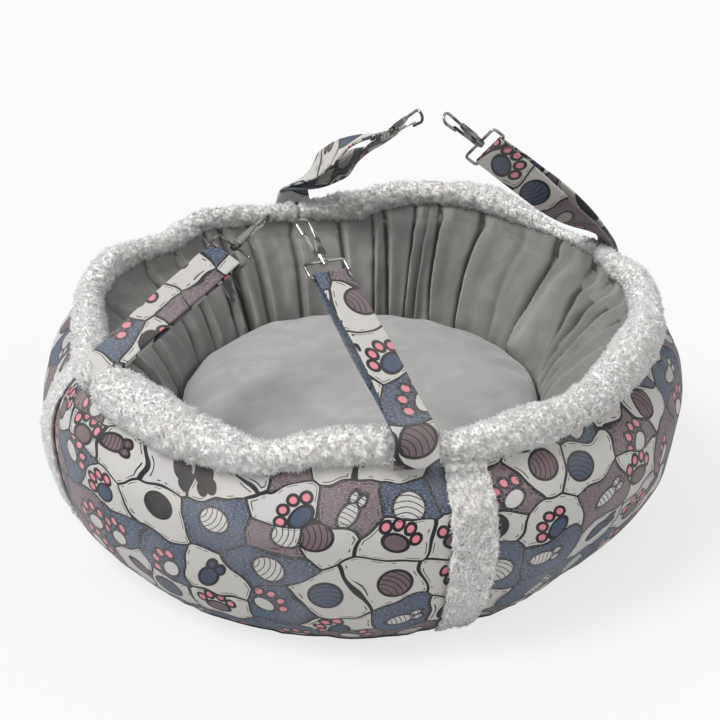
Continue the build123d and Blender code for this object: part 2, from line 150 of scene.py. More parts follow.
class CatBedCushion(PropertyGroup):
    """Sizes and colours of the loose cushion."""

    pressure: number_setting("Pressure", "Pressure of the stuffing", 4.0)
    swell_limit: size_setting("Swell Limit", "Most that a point may move", 0.005)
    color: color_setting("Velvet", "Colour of the velvet", (0.31, 0.306, 0.30))
    light_color: color_setting("Nap", "Colour of the stroked velvet", (0.385, 0.38, 0.375))


class CatBedPrint(PropertyGroup):
    """Sizes and colours of the printed cotton."""

    motif_width: size_setting("Motif Width", "Width of one printed shape", 0.046)
    motif_height: size_setting("Motif Height", "Height of one printed shape", 0.036)
    ground: color_setting("Ground", "Colour of the bare cloth", (0.53, 0.517, 0.492))
    slate: color_setting("Slate", "Blue of the print", (0.050, 0.076, 0.128))
    mauve: color_setting("Mauve", "Mauve of the print", (0.155, 0.108, 0.120))
    grey: color_setting("Pale Grey", "Pale grey of the print", (0.50, 0.49, 0.49))
    ink: color_setting("Ink", "Colour of the outlines", (0.018, 0.016, 0.020))
    accent: color_setting("Accent", "Pink of the print", (0.68, 0.22, 0.27))


class CatBedStraps(PropertyGroup):
    """Sizes of the straps."""

    width: size_setting("Width", "Width of a strap", 0.028)
    foot_width: size_setting("Foot Width", "Width where it is sewn in", 0.033)
    length: size_setting("Length", "From the fold at the roll to the ring", 0.140)
    cloth: size_setting("Cloth", "Thickness of one layer", 0.0018)


class CatBedMetal(PropertyGroup):
    """Finish of the rings and hooks."""

    color: color_setting("Nickel", "Colour of the plating", (0.44, 0.43, 0.415))
    roughness: number_setting("Roughness", "Roughness of the plating", 0.08)


class CatBedStage(PropertyGroup):
    """Floor, light and camera."""

    floor_color: color_setting("Floor", "Colour of the floor", (0.74, 0.74, 0.74))
    floor_glow: number_setting("Floor Glow", "Light the floor gives off to the camera", 0.955)
    key_strength: number_setting("Key Light", "Strength of the main light", 2.45)
    fill_strength: number_setting("Fill Light", "Strength of the second light", 0.40)
    world_strength: number_setting("Sky", "Strength of the light from above", 0.70)
    wall_strength: number_setting("Walls", "Strength of the light from the sides", 0.40)


SETTINGS = {
    "cat_bed_wall": CatBedWall,
    "cat_bed_plush": CatBedPlush,
    "cat_bed_lining": CatBedLining,
    "cat_bed_cushion": CatBedCushion,
    "cat_bed_print": CatBedPrint,
    "cat_bed_straps": CatBedStraps,
    "cat_bed_metal": CatBedMetal,
    "cat_bed_stage": CatBedStage,
}


# Shapes
def angle_gap(angle, centre):
    """Angle from a centre, from -180 to 180 degrees."""
    return (angle - centre + FULL_TURN / 2) % FULL_TURN - FULL_TURN / 2


def smooth_step(value, low, high):
    """Rises smoothly from 0 at low to 1 at high."""
    share = np.clip((value - low) / (high - low), 0.0, 1.0)
    return share * share * (3.0 - 2.0 * share)


def round_points(radius, angle, height):
    """Points on circles about the bed's axis."""
    turn = np.radians(angle)
    radius, height = np.broadcast_arrays(radius, height)[0], np.broadcast_to(height, np.shape(turn))
    return np.stack([radius * np.cos(turn), radius * np.sin(turn), height], axis=1)


def waves(points, size, seed=0.0):
    """Smooth noise from -1 to 1, with bumps of a size in metres, or of a size for each axis."""
    return np.array([noise.noise(place) for place in (points / np.asarray(size) + seed).tolist()])


def clumps(points, size, seed=0.0):
    """Rounded clumps of a size in metres, from 0 between them to 1 on top."""
    places = (points / size + seed).tolist()
    return np.array([1.0 - noise.voronoi(place)[0][0] for place in places])


def values_of(data, field, width=3):
    """One field of some mesh data as an array."""
    flat = np.empty(len(data) * width)
    data.foreach_get(field, flat)
    return flat.reshape(-1, width)


def mesh_points(mesh):
    """Points of a mesh as an array."""
    return values_of(mesh.vertices, "co")


def mesh_normals(mesh):
    """Normals of a mesh's points as an array."""
    return values_of(mesh.vertex_normals, "vector")


def move_points(mesh, points):
    """Moves a mesh's points to new places."""
    mesh.vertices.foreach_set("co", np.ascontiguousarray(points, dtype=np.float64).ravel())
    mesh.update()


def change_uv(mesh, size=1.0, shift=0.0):
    """Stretches a mesh's UV map to the size of its cloth, and moves it so that no two prints start alike."""
    layer = mesh.uv_layers[0].data
    places = values_of(layer, "uv", 2) * np.asarray(size) + np.asarray(shift)
    layer.foreach_set("uv", places.ravel())


def mesh_from(body, name):
    """Mesh made of a bmesh, which is freed."""
    mesh = bpy.data.meshes.new(name)
    body.to_mesh(mesh)
    body.free()
    return mesh


def add_object(name, data):
    """Puts an object in the scene."""
    item = bpy.data.objects.new(name, data)
    bpy.context.scene.collection.objects.link(item)
    return item


def wrapped_grid(name, columns, rows, place, cloth_size, closed=False):
    """Grid laid on a surface: place turns runs and rises from 0 to 1 into points. The UV map is in metres."""
    grid = bmesh.new()
    grid.loops.layers.uv.new("UVMap")
    bmesh.ops.create_grid(grid, x_segments=columns, y_segments=rows, size=0.5, calc_uvs=True)
    mesh = mesh_from(grid, name)
    flat = mesh_points(mesh) + 0.5
    move_points(mesh, place(flat[:, 0], flat[:, 1]))
    change_uv(mesh, size=cloth_size)
    if closed:
        close_mesh(mesh)
    mesh.shade_smooth()
    return mesh


def close_mesh(mesh):
    """Merges the points that lie on each other and turns every face outwards."""
    shell = bmesh.new()
    shell.from_mesh(mesh)
    bmesh.ops.remove_doubles(shell, verts=shell.verts, dist=0.01 * MM)
    bmesh.ops.recalc_face_normals(shell, faces=shell.faces)
    shell.to_mesh(mesh)
    shell.free()
    mesh.update()


def store_heights(mesh, name, heights):
    """Keeps a number for each point, for the material to read."""
    mesh.attributes.new(name, "FLOAT", "POINT").data.foreach_set("value", heights.astype(np.float32))


# Pile: how far the curls wander, and the sizes of that, of the fine roughness and of the lumps, in metres
CURL_DRIFT, CURL_DRIFT_SIZE = 0.0016, 0.004
FINE_SIZE = 0.0017
LUMP_SIZE, LUMP_HEIGHT = 0.016, 0.0011
# How much of the bumpy surface stays in the shading normals, and how far cloth and tufts take those up
BUMPY_SHARE = 0.8
CLOTH_SOFTNESS, TUFT_SOFTNESS = 0.5, 0.75
# Tufts: most lean, least and most size, and bend of their tips as a share of their length
TUFT_LEAN = 0.75
TUFT_SIZES = (0.65, 1.25)
TUFT_BEND, TUFT_BEND_SCALE = 1.9, 190.0


def raise_pile(mesh, plush, height_share=1.0):
    """Gives a mesh the curls, lumps and fine roughness of plush, and keeps their height."""
    points = mesh_points(mesh)
    drifts = [waves(points, CURL_DRIFT_SIZE, seed) for seed in (3.0, 17.0, 31.0)]
    bent = points + CURL_DRIFT * np.stack(drifts, axis=1)
    curls = clumps(bent, plush.clump_size, 5.0)
    fine = waves(points, FINE_SIZE, 41.0)
    pile = np.clip(0.75 * curls + 0.25 * (0.5 + 0.5 * fine), 0.0, 1.0)
    lumps = waves(points, LUMP_SIZE, 59.0)
    height = height_share * (plush.clump_height * (pile - 0.5) * 1.6 + LUMP_HEIGHT * lumps)
    normals = mesh_normals(mesh)
    move_points(mesh, points + normals * height[:, None])
    # The pile height is kept for the material, which paints shade where it is low, between the curls
    store_heights(mesh, "pile", pile)
    facing = mesh.attributes.new("facing", "FLOAT_VECTOR", "POINT")
    facing.data.foreach_set("vector", unit(normals + BUMPY_SHARE * mesh_normals(mesh)).ravel())


def new_piece(mesh, material, body, replaced=()):
    """Puts a mesh in the scene as a piece that rides on a body and stands for CAD nodes."""
    piece = add_object(mesh.name, mesh)
    mesh.materials.append(material)
    if body:
        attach(piece, body)
    if replaced:
        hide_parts(*replaced)
    return piece


def baked(piece, name):
    """Mesh of a piece with its modifiers applied."""
    bpy.context.view_layer.update()
    graph = bpy.context.evaluated_depsgraph_get()
    mesh = bpy.data.meshes.new_from_object(piece.evaluated_get(graph))
    mesh.name = name
    return mesh


def thicken(piece, thickness, offset=-1.0):
    """Gives a cloth its thickness."""
    shell = piece.modifiers.new("Cloth Thickness", "SOLIDIFY")
    shell.thickness = thickness
    shell.offset = offset
    shell.use_even_offset = False


def pile_tree(plush, length_share):
    """Geometry nodes that grow tufts on a surface: tapered, leaning, and bent by noise at their tips."""
    tree = bpy.data.node_groups.new("Pile Tufts", "GeometryNodeTree")
    for side in ("INPUT", "OUTPUT"):
        tree.interface.new_socket(name="Geometry", in_out=side, socket_type="NodeSocketGeometry")
    start = tree.nodes.new("NodeGroupInput")
    end = tree.nodes.new("NodeGroupOutput")
    length = plush.tuft_length * length_share
    scatter = put(
        tree, "GeometryNodeDistributePointsOnFaces",
        {"Mesh": start.outputs[0], "Density": 1.0 / plush.tuft_area, "Seed": plush.seed},
    )
    cone = put(
        tree, "GeometryNodeMeshCone",
        {"Vertices": 3, "Side Segments": 2, "Radius Top": 0.0, "Radius Bottom": plush.tuft_width / 2, "Depth": length},
    )
    rise = put(tree, "ShaderNodeSeparateXYZ", {0: tree.nodes.new("GeometryNodeInputPosition").outputs[0]})
    # Share of the way up each tuft, kept as pile, so that the material paints shade at the tuft roots
    tip = calc(tree, "DIVIDE", rise.outputs["Z"], length)
    marked = put(
        tree, "GeometryNodeStoreNamedAttribute",
        {"Geometry": cone.outputs["Mesh"], "Name": "pile", "Value": tip}, data_type="FLOAT", domain="POINT",
    )
    lean = put(
        tree, "FunctionNodeRandomValue",
        {"Min": (-TUFT_LEAN,) * 3, "Max": (TUFT_LEAN,) * 3, "Seed": plush.seed + 1}, data_type="FLOAT_VECTOR",
    )
    heading = vector_calc(tree, "ADD", scatter.outputs["Normal"], lean.outputs[0])
    upright = put(tree, "FunctionNodeAlignRotationToVector", {"Vector": heading}, axis="Z")
    sizes = {2: TUFT_SIZES[0], 3: TUFT_SIZES[1], "Seed": plush.seed + 2}
    size = put(tree, "FunctionNodeRandomValue", sizes, data_type="FLOAT")
    tufts = put(
        tree, "GeometryNodeInstanceOnPoints",
        {"Points": scatter.outputs["Points"], "Instance": marked.outputs["Geometry"],
         "Rotation": upright.outputs[0], "Scale": size.outputs[1]},
    )
    real = put(tree, "GeometryNodeRealizeInstances", {"Geometry": tufts.outputs[0]})
    bend = put(tree, "ShaderNodeTexNoise", {"Scale": TUFT_BEND_SCALE, "Detail": 1.0}, noise_dimensions="3D")
    centred = vector_calc(tree, "SUBTRACT", bend.outputs["Color"], (0.5, 0.5, 0.5))
    height = put(tree, "GeometryNodeInputNamedAttribute", {"Name": "pile"}, data_type="FLOAT")
    squared = times(tree, height.outputs[0], height.outputs[0])
    amount = times(tree, squared, TUFT_BEND * length)
    offset = put(tree, "ShaderNodeVectorMath", {0: centred, "Scale": amount}, operation="SCALE")
    curled = put(
        tree, "GeometryNodeSetPosition", {"Geometry": real.outputs[0], "Offset": offset.outputs["Vector"]}
    )
    tree.links.new(curled.outputs[0], end.inputs[0])
    return tree


def soften_shading(mesh, share):
    """Turns the shading normals of pile towards those of the plain cloth under it."""
    facing = values_of(mesh.attributes["facing"].data, "vector")
    mixed_normals = share * facing + (1.0 - share) * mesh_normals(mesh)
    mesh.attributes.remove(mesh.attributes["facing"])
    mesh.normals_split_custom_set_from_vertices(unit(mixed_normals).tolist())


def grow_pile(base, name, tree, material, body="root"):
    """Tufts of pile on a piece, as a piece of their own."""
    bed = add_object(name, base.data)
    grower = bed.modifiers.new("Pile", "NODES")
    grower.node_group = tree
    mesh = baked(bed, name)
    bpy.data.objects.remove(bed)
    mesh.materials.clear()
    mesh.shade_smooth()
    soften_shading(mesh, TUFT_SOFTNESS)
    return new_piece(mesh, material, body)


# Plush roll round the rim: angle, radius, and how far its middle lies out and up, in millimetres
ROLL_SHAPE = (
    (0, 8.0, 3.0, 2.0), (6, 6.5, 5.5, 2.5), (12, 5.0, 5.5, 2.5), (19.8, 3.2, 2.0, 1.2), (26.8, 6.4, 2.2, 4.1),
    (33.2, 9.5, 3.5, 6.9), (38.8, 11.3, 4.8, 10.3), (46.2, 10.2, 4.8, 10.8), (52.8, 9.3, 4.3, 10.0),
    (59.2, 9.4, 3.2, 7.7), (65.5, 10.8, 1.4, 3.5), (72, 12.5, -1.9, -4.6), (78.8, 10.4, -2.3, -5.7),
    (88.2, 7.6, -3.0, -7.1), (95.8, 7.5, -2.3, -5.2), (102, 8.6, -1.6, -3.4), (111, 8.5, 0.6, 1.2),
    (118.2, 10.0, -2.4, -4.3), (123.8, 7.6, -3.7, -6.1), (132.8, 9.0, -1.5, -2.1), (140.8, 11.2, 1.8, 2.0),
    (148.2, 10.2, 0.7, 0.6), (155, 9.2, -1.0, -0.3), (168.8, 12.0, -6.0, -0.9), (180, 13.0, -4.0, -1.0),
    (187, 13.0, 4.0, 0.5), (192, 13.0, 9.0, 0.5), (196, 13.0, 11.0, 0.0), (200, 16.5, 9.5, -2.0),
    (204, 18.0, 6.5, -3.5), (210, 18.6, 5.6, -7.0), (218.2, 17.2, 6.8, -11.2), (225, 15.4, 7.4, -12.9),
    (232, 12.5, 8.2, -15.1), (236, 10.8, 7.6, -14.6),
    (240, 11.7, 4.7, -8.9), (246.2, 13.3, 2.1, -4.5), (255, 13.3, 1.4, -2.5), (261, 10.5, 2.0, -4.0),
    (268.5, 10.0, 4.4, -9.1), (276, 13.2, 4.1, -7.3), (284.5, 14.2, 4.0, -6.1), (292.8, 12.2, 5.2, -7.7),
    (299.5, 12.9, 4.5, -5.3), (308.5, 14.8, 2.6, -2.1), (321, 16.0, 2.1, -0.8), (332.5, 12.7, 6.0, 0.1),
    (339.5, 11.0, 6.3, 2.0), (353, 10.2, 6.3, 5.8), (360, 8.0, 3.0, 2.0),
)
# Angle over which the table's corners are rounded off, in degrees
ROLL_BLUR = 1.5


def roll_shape(angle, column):
    """One column of the roll's table at some angles, in metres."""
    turn = np.mod(angle, FULL_TURN)
    stops = [row[0] for row in ROLL_SHAPE]
    sizes = [row[column] for row in ROLL_SHAPE]
    near = [np.interp(np.mod(turn + step, FULL_TURN), stops, sizes) for step in (-ROLL_BLUR, 0.0, ROLL_BLUR)]
    return MM * np.mean(near, axis=0)


WALL_FOOT = 0.0018
# Last points of the wall's outline, under the roll, and how far below the roll's middle it ends
UNDER_ROLL_RADIUS, UNDER_ROLL_HEIGHT, ROLL_OVERLAP = 0.2225, 0.1575, 0.003


def wall_profile():
    """Outline of the wall from its foot up to the middle of the roll, evenly spaced along the cloth."""
    heights = np.linspace(WALL_FOOT, WALL_TOP, 300)
    arc = np.where(heights < BULGE_HEIGHT, LOWER_ARC, UPPER_ARC)
    radii = BULGE_RADIUS - arc + np.sqrt(np.maximum(arc**2 - (heights - BULGE_HEIGHT) ** 2, 0.0))
    radii = np.append(radii, [UNDER_ROLL_RADIUS, RIM_RADIUS])
    heights = np.append(heights, [UNDER_ROLL_HEIGHT, ROLL_HEIGHT - ROLL_OVERLAP])
    along = np.concatenate([[0.0], np.cumsum(np.hypot(np.diff(heights), np.diff(radii)))])
    return radii, heights, along


# The slumped part of the wall, in degrees, and how far the foot stands out
SAG_ANGLE = 300.0
SAG_REACH = 19.0
FOOT_SPREAD = 0.007
# Heights over which the gathers fade at the foot and at the top
FOOT_SEAM = (0.004, 0.036)
TOP_SEAM = (0.112, 0.147)
# Heights between which the slump and the spread of the foot fade, the waves end and the wall follows the roll
SLUMP_FADE = (0.012, 0.105)
SPREAD_FADE = (0.006, 0.085)
WAVES_END = (0.150, 0.160)
FOLLOW_ROLL = (0.080, 0.152)
WAVE_SIZE, RIPPLE_SIZE, RIPPLE_SHARE = 0.075, 0.03, 0.3
GATHER_SIZE = (0.011, 0.011, 0.07)
WALL_COLUMNS, WALL_ROWS = 190, 96


def wall_surface(angle, share, wall, lift=0.0):
    """Points of the stuffed wall at angles and shares of its outline."""
    radii, heights, along = wall_profile()
    radius = np.interp(share * along[-1], along, radii)
    height = np.interp(share * along[-1], along, heights)
    points = round_points(BULGE_RADIUS, angle, height)
    shift = wall.wave_height * waves(points, WAVE_SIZE, 11.0)
    shift += RIPPLE_SHARE * wall.wave_height * waves(points, RIPPLE_SIZE, 23.0)
    for centre in QUARTERS.values():
        reach = np.radians(angle_gap(angle, centre)) * BULGE_RADIUS / wall.seam_reach
        shift -= wall.seam_dip * np.exp(-(reach**2))
    slump = np.exp(-((angle_gap(angle, SAG_ANGLE) / SAG_REACH) ** 2))
    shift -= wall.sag_depth * slump * (1.0 - smooth_step(height, *SLUMP_FADE))
    shift += FOOT_SPREAD * (1.0 - smooth_step(height, *SPREAD_FADE))
    seams = smooth_step(height, *TOP_SEAM) + 1.0 - smooth_step(height, *FOOT_SEAM)
    shift += wall.gather_height * seams * waves(points, GATHER_SIZE, 37.0)
    shift *= 1.0 - smooth_step(height, *WAVES_END)
    top = smooth_step(height, *FOLLOW_ROLL)
    radius = radius + shift + lift + top * roll_shape(angle, 2)
    return round_points(radius, angle, height + top * roll_shape(angle, 3))


def wall_cover(quarter, start, wall):
    """Quarter of the printed cover."""
    sweep = FULL_TURN / len(QUARTERS)
    width = math.radians(sweep) * BULGE_RADIUS
    tall = wall_profile()[2][-1]

    def place(run, rise):
        return wall_surface(start + sweep * run, rise, wall)

    mesh = wrapped_grid(f"wall_cover_{quarter}_corner", WALL_COLUMNS, WALL_ROWS, place, (width, tall))
    change_uv(mesh, shift=(width * list(QUARTERS).index(quarter), 0.0))
    return mesh


BAND_WIDTH = 0.034
BAND_THICKNESS = 0.006
BAND_COLUMNS, BAND_ROWS = 64, 150
# Share of a band's length over which each end rounds off, and over which its foot widens from a share of its width
BAND_END = 0.02
BAND_FOOT, BAND_FOOT_WIDTH = 0.04, 0.8
# Powers that square off a band's outline: 1 is an ellipse
BAND_SIDES, BAND_FACE = 0.7, 0.8


def band_mesh(quarter, centre, wall):
    """Plush band down the wall: a padded strip with round edges and ends."""

    def place(run, rise):
        turn = 2.0 * np.pi * run
        across, out = np.cos(turn), np.sin(turn)
        widening = BAND_FOOT_WIDTH + (1.0 - BAND_FOOT_WIDTH) * smooth_step(rise, 0.0, BAND_FOOT)
        flat = np.sign(across) * np.abs(across) ** BAND_SIDES * widening
        angle = centre + np.degrees(flat * BAND_WIDTH / 2 / BULGE_RADIUS)
        close = np.sqrt(np.clip(rise / BAND_END, 0.0, 1.0)) * np.sqrt(np.clip((1.0 - rise) / BAND_END, 0.0, 1.0))
        lift = (0.5 + 0.5 * np.sign(out) * np.abs(out) ** BAND_FACE) * BAND_THICKNESS * close
        return wall_surface(angle, rise, wall, lift)

    size = (2 * BAND_WIDTH, wall_profile()[2][-1])
    return wrapped_grid(f"band_{quarter}", BAND_COLUMNS, BAND_ROWS, place, size, closed=True)


ROLL_RADIUS = 0.0125
ROLL_MESH_STEP = 0.0011
# Gap in degrees between a length of roll and its strap, and how fast and how short its ends round off
ROLL_END_GAP = 0.1
ROLL_END_SHARE, ROLL_END_LEAST = 0.8, 0.004


def roll_mesh(start_name, end_name, start, end):
    """Length of the plush roll between two straps, closed at its ends."""
    length = math.radians(end - start) * RIM_RADIUS
    girth = 2.0 * math.pi * ROLL_RADIUS

    def place(run, rise):
        angle = start + ROLL_END_GAP + (end - start - 2 * ROLL_END_GAP) * run
        turn = 2.0 * np.pi * rise
        full = roll_shape(angle, 1)
        reach = np.maximum(ROLL_END_SHARE * full, ROLL_END_LEAST)
        to_end = np.minimum(np.minimum(run, 1.0 - run) * length / reach, 1.0)
        radius = full * np.sqrt(np.maximum(1.0 - (1.0 - to_end) ** 2, 0.0))
        out = RIM_RADIUS + roll_shape(angle, 2) - radius * np.cos(turn)
        return round_points(out, angle, ROLL_HEIGHT + roll_shape(angle, 3) + radius * np.sin(turn))

    columns, rows = round(length / ROLL_MESH_STEP), round(girth / ROLL_MESH_STEP)
    name = f"rim_{start_name}_to_{end_name}"
    return wrapped_grid(name, columns, rows, place, (length, girth), closed=True)


# Folds of the lining: angle at the mouth, angle at the foot, width share, height share
FOLDS = (
    (-25, -33, 0.9, 0.8), (-17.5, -26, 0.7, 0.7), (-11, -21, 0.7, 0.8), (-5, -18, 0.8, 1.0), (3.5, -15, 0.9, 1.1),
    (12.5, 8, 1.6, 0.8), (17.8, 10, 0.55, 1.0), (27, 22, 1.6, 0.3), (39.8, 36.8, 1.2, 1.1), (51, 46.5, 0.9, 1.15),
    (54.3, 52.6, 0.45, 0.6), (57, 55.5, 0.55, 1.2), (64.3, 60.6, 0.8, 0.9), (67.6, 65.7, 0.5, 0.8),
    (75.5, 74, 0.9, 0.8), (87, 89, 1.1, 0.6), (98, 101, 1.2, 0.6), (105.5, 109, 1.1, 1.1), (110.5, 115, 0.6, 1.0),
    (120, 125, 0.9, 0.6), (130, 134.5, 1.2, 0.5), (150, 153, 1.6, 0.35), (170, 173, 1.1, 0.5), (182, 184, 0.9, 0.6),
    (203, 202, 1.0, 0.5), (226, 225, 0.9, 0.6), (247, 248, 1.1, 0.5), (268, 268, 0.9, 0.6), (287, 285, 1.0, 0.5),
    (305, 303, 0.9, 0.7), (318, 314, 0.9, 0.6),
)
FOLD_WIDTH = 0.015
FLOOR_TOP = 0.0295
LINING_RADIUS = 0.18


# Outline of the lining above the slope, tucked into the roll, and below it, down the well and over the floor
LIP_RADII, LIP_HEIGHTS = [0.2130, 0.2075], [0.1640, 0.1560]
WELL_RADII, WELL_HEIGHTS = [0.1478, 0.1476, 0.1470], [0.070, 0.050, 0.034]
FLOOR_RADII = [0.1420, 0.1000, 0.0500, 0.0]


def lining_profile():
    """Outline of the lining from inside the roll down the slope to the middle of the floor."""
    rise = WALL_TOP - CAVITY_STEP
    run = CAVITY_MOUTH - CAVITY_RADIUS
    length = math.hypot(run, rise)
    share = np.linspace(0.0, 1.0, 60)
    swell = CAVITY_SWELL * 4.0 * share * (1.0 - share)
    radii = CAVITY_MOUTH - run * share - swell * rise / length
    heights = WALL_TOP - rise * share + swell * run / length
    radii = np.concatenate([LIP_RADII, radii, WELL_RADII, FLOOR_RADII])
    heights = np.concatenate([LIP_HEIGHTS, heights, WELL_HEIGHTS, [FLOOR_TOP] * len(FLOOR_RADII)])
    along = np.concatenate([[0.0], np.cumsum(np.hypot(np.diff(radii), np.diff(heights)))])
    return radii, heights, along


LINING_COLUMNS = 840
LINING_ROWS = 98
UNDER_ROWS = 8
FLOOR_ROWS = 10
SLOPE_CLOTH = 0.112
# Width of a fold's steep side as a share of the fold's width, and where it is wider, in degrees
PLEAT_DROP = 0.26
WIDE_VALLEY_ANGLE, WIDE_VALLEY_REACH, WIDE_VALLEY_GAIN = 2.0, 22.0, 1.8
# How far the folds wander, in degrees, how steeply they rise, and how deep their grooves go
FOLD_DRIFT, FOLD_DRIFT_SIZE = 0.8, (0.06, 0.06, 0.07)
FOLD_POWER = 1.7
GROOVE_DEPTH, GROOVE_PLACE, GROOVE_WIDTH = 0.5, 1.1, 0.6
# Shares of the slope over which the folds start and flatten out, and how flat they get
FOLDS_START, FOLDS_END, FOLDS_FLATTEN = (0.05, 0.32), (0.86, 1.0), 0.8
# How much of a fold's height goes towards the middle of the bed, and how much goes up
FOLD_IN, FOLD_UP = 0.8, 0.55
LINING_THICKNESS = 0.004
# Puffs and fine creases between the folds, as shares of a fold's height, and their sizes
PUFF_SHARE, PUFF_SIZE = 0.30, (0.03, 0.03, 0.06)
CREASE_SHARE, CREASE_SIZE = 0.12, (0.009, 0.009, 0.03)
LINING_TOP = (0.100, 0.150)


def lining_folds(angle, slope):
    """Height of the gathered folds, as a share of their full height."""
    near = round_points(0.2, angle, 0.15 * slope)
    bent = angle + FOLD_DRIFT * waves(near, FOLD_DRIFT_SIZE, 13.0)
    height = np.zeros(len(angle))
    for mouth, foot, width, tall in FOLDS:
        gap = angle_gap(bent, mouth + (foot - mouth) * slope) / math.degrees(FOLD_WIDTH * width / LINING_RADIUS)
        rise = np.clip(1.0 + gap, 0.0, 1.0) ** FOLD_POWER
        apart = math.exp(-((angle_gap(mouth, WIDE_VALLEY_ANGLE) / WIDE_VALLEY_REACH) ** 2))
        valley = PLEAT_DROP * (1.0 + WIDE_VALLEY_GAIN * apart)
        drop = 1.0 - smooth_step(gap, 0.0, valley)
        groove = np.exp(-(((gap - GROOVE_PLACE * valley) / (GROOVE_WIDTH * valley)) ** 2))
        height += tall * (rise * drop - GROOVE_DEPTH * groove)
    return height


def lining_mesh(lining):
    """Lining of the hollow with its gathered folds, down to the floor, closed along its underside."""
    radii, heights, along = lining_profile()
    top_share = 1.0 - UNDER_ROWS / LINING_ROWS
    slope_share = top_share - FLOOR_ROWS / LINING_ROWS

    def place(run, rise):
        angle = FULL_TURN * run
        stops = (0.0, slope_share, top_share, 1.0)
        reach = np.interp(rise, stops, (0.0, SLOPE_CLOTH, along[-1], 0.0))
        under = smooth_step(rise, top_share, top_share + 0.5 / LINING_ROWS)
        radius = np.interp(reach, along, radii)
        height = np.interp(reach, along, heights)
        slope = np.clip(reach / SLOPE_CLOTH, 0.0, 1.0)
        flattened = 1.0 - FOLDS_FLATTEN * smooth_step(slope, *FOLDS_END)
        envelope = smooth_step(slope, *FOLDS_START) * flattened * (reach <= SLOPE_CLOTH)
        near = round_points(radius, angle, height)
        puff = PUFF_SHARE * waves(near, PUFF_SIZE, 83.0) + CREASE_SHARE * waves(near, CREASE_SIZE, 89.0)
        lift = lining.fold_height * envelope * (lining_folds(angle, slope) + puff)
        lift -= under * LINING_THICKNESS
        top = smooth_step(height, *LINING_TOP)
        radius = np.maximum(radius - FOLD_IN * lift + top * roll_shape(angle, 2), 0.0)
        return round_points(radius, angle, height + FOLD_UP * lift + top * roll_shape(angle, 3))

    girth = 2.0 * math.pi * LINING_RADIUS
    mesh = wrapped_grid("lining", LINING_COLUMNS, LINING_ROWS, place, (girth, along[-1]), closed=True)
    points = mesh_points(mesh)
    angle = np.degrees(np.arctan2(points[:, 1], points[:, 0])) % FULL_TURN
    height = points[:, 2] - smooth_step(points[:, 2], *LINING_TOP) * roll_shape(angle, 3)
    slope = np.clip((WALL_TOP + 0.010 - height) / (WALL_TOP + 0.010 - CAVITY_STEP), 0.0, 1.0)
    # Fold heights are kept for the material, which paints a highlight on the ridges and shade in the grooves
    store_heights(mesh, "fold", lining_folds(angle, slope) * (height > CAVITY_STEP - 0.004))
    return mesh


CUSHION_FOOT = 0.1345
CUSHION_SIDE = 0.1455
CUSHION_EDGE = 0.1475
CUSHION_BOTTOM = 0.0302
CUSHION_EDGE_TOP = 0.0950
CUSHION_CROWN = 0.1065
CUSHION_MESH_STEP = 0.005
# Heights between which the dimples of the top set in
CUSHION_DIMPLED = (0.075, 0.09)
DIMPLE_DEPTH, DIMPLE_SIZE = 0.0020, (0.11, 0.09, 0.2)
RUMPLE_DEPTH, RUMPLE_SIZE = 0.0010, 0.035


def cushion_mesh():
    """Crowned round cushion, spun from its outline."""
    middle = (CUSHION_BOTTOM + CUSHION_EDGE_TOP) / 2
    top_radius, top_height = CUSHION_EDGE - 0.012, CUSHION_EDGE_TOP + 0.002
    outline = [
        (0.0, CUSHION_BOTTOM), (CUSHION_FOOT * 0.5, CUSHION_BOTTOM), (CUSHION_FOOT - 0.006, CUSHION_BOTTOM),
        (CUSHION_FOOT + 0.004, CUSHION_BOTTOM + 0.007), (CUSHION_SIDE, middle - 0.010), (CUSHION_SIDE, middle + 0.012),
        (CUSHION_EDGE, CUSHION_EDGE_TOP - 0.008), (CUSHION_EDGE - 0.004, CUSHION_EDGE_TOP - 0.001),
    ]
    for share in (1.0, 0.75, 0.5, 0.25, 0.0):
        crown = (CUSHION_CROWN - top_height) * (1.0 - share**2.2)
        outline.append((share * top_radius, top_height + crown))
    body = bmesh.new()
    points = [body.verts.new((radius, 0.0, height)) for radius, height in outline]
    edges = [body.edges.new(pair) for pair in zip(points, points[1:])]
    bmesh.ops.spin(
        body, geom=points + edges, axis=(0, 0, 1), cent=(0, 0, 0), angle=2 * math.pi, steps=96, use_merge=True
    )
    bmesh.ops.remove_doubles(body, verts=body.verts, dist=0.01 * MM)
    bmesh.ops.recalc_face_normals(body, faces=body.faces)
    mesh = mesh_from(body, "cushion")
    mesh.shade_smooth()
    return mesh


def even_mesh(mesh, voxel):
    """Mesh with even small faces, for the simulation."""
    piece = add_object("even_mesh", mesh)
    remesh = piece.modifiers.new("Remesh", "REMESH")
    remesh.mode = "VOXEL"
    remesh.voxel_size = voxel
    even = baked(piece, mesh.name)
    bpy.data.objects.remove(piece)
    return even


SWELL_FRAMES = 20


def swollen(mesh, pressure, limit):
    """Lets the stuffing swell a cloth body, and keeps the shape it takes."""
    scene = bpy.context.scene
    piece = add_object("swelling", mesh)
    start = mesh_points(mesh)
    cloth = piece.modifiers.new("Cloth", "CLOTH")
    cloth.settings.quality = 5
    cloth.settings.use_pressure = True
    cloth.settings.uniform_pressure_force = pressure
    cloth.settings.effector_weights.gravity = 0.0
    cloth.point_cache.frame_start = 1
    cloth.point_cache.frame_end = SWELL_FRAMES
    for step in range(1, SWELL_FRAMES + 1):
        scene.frame_set(step)
    shape = baked(piece, mesh.name)
    scene.frame_set(1)
    bpy.data.objects.remove(piece)
    moved = mesh_points(shape) - start
    reach = np.linalg.norm(moved, axis=1)
    allowed = limit * np.tanh(reach / limit)
    move_points(shape, start + moved * (allowed / np.maximum(reach, 1e-9))[:, None])
    return shape


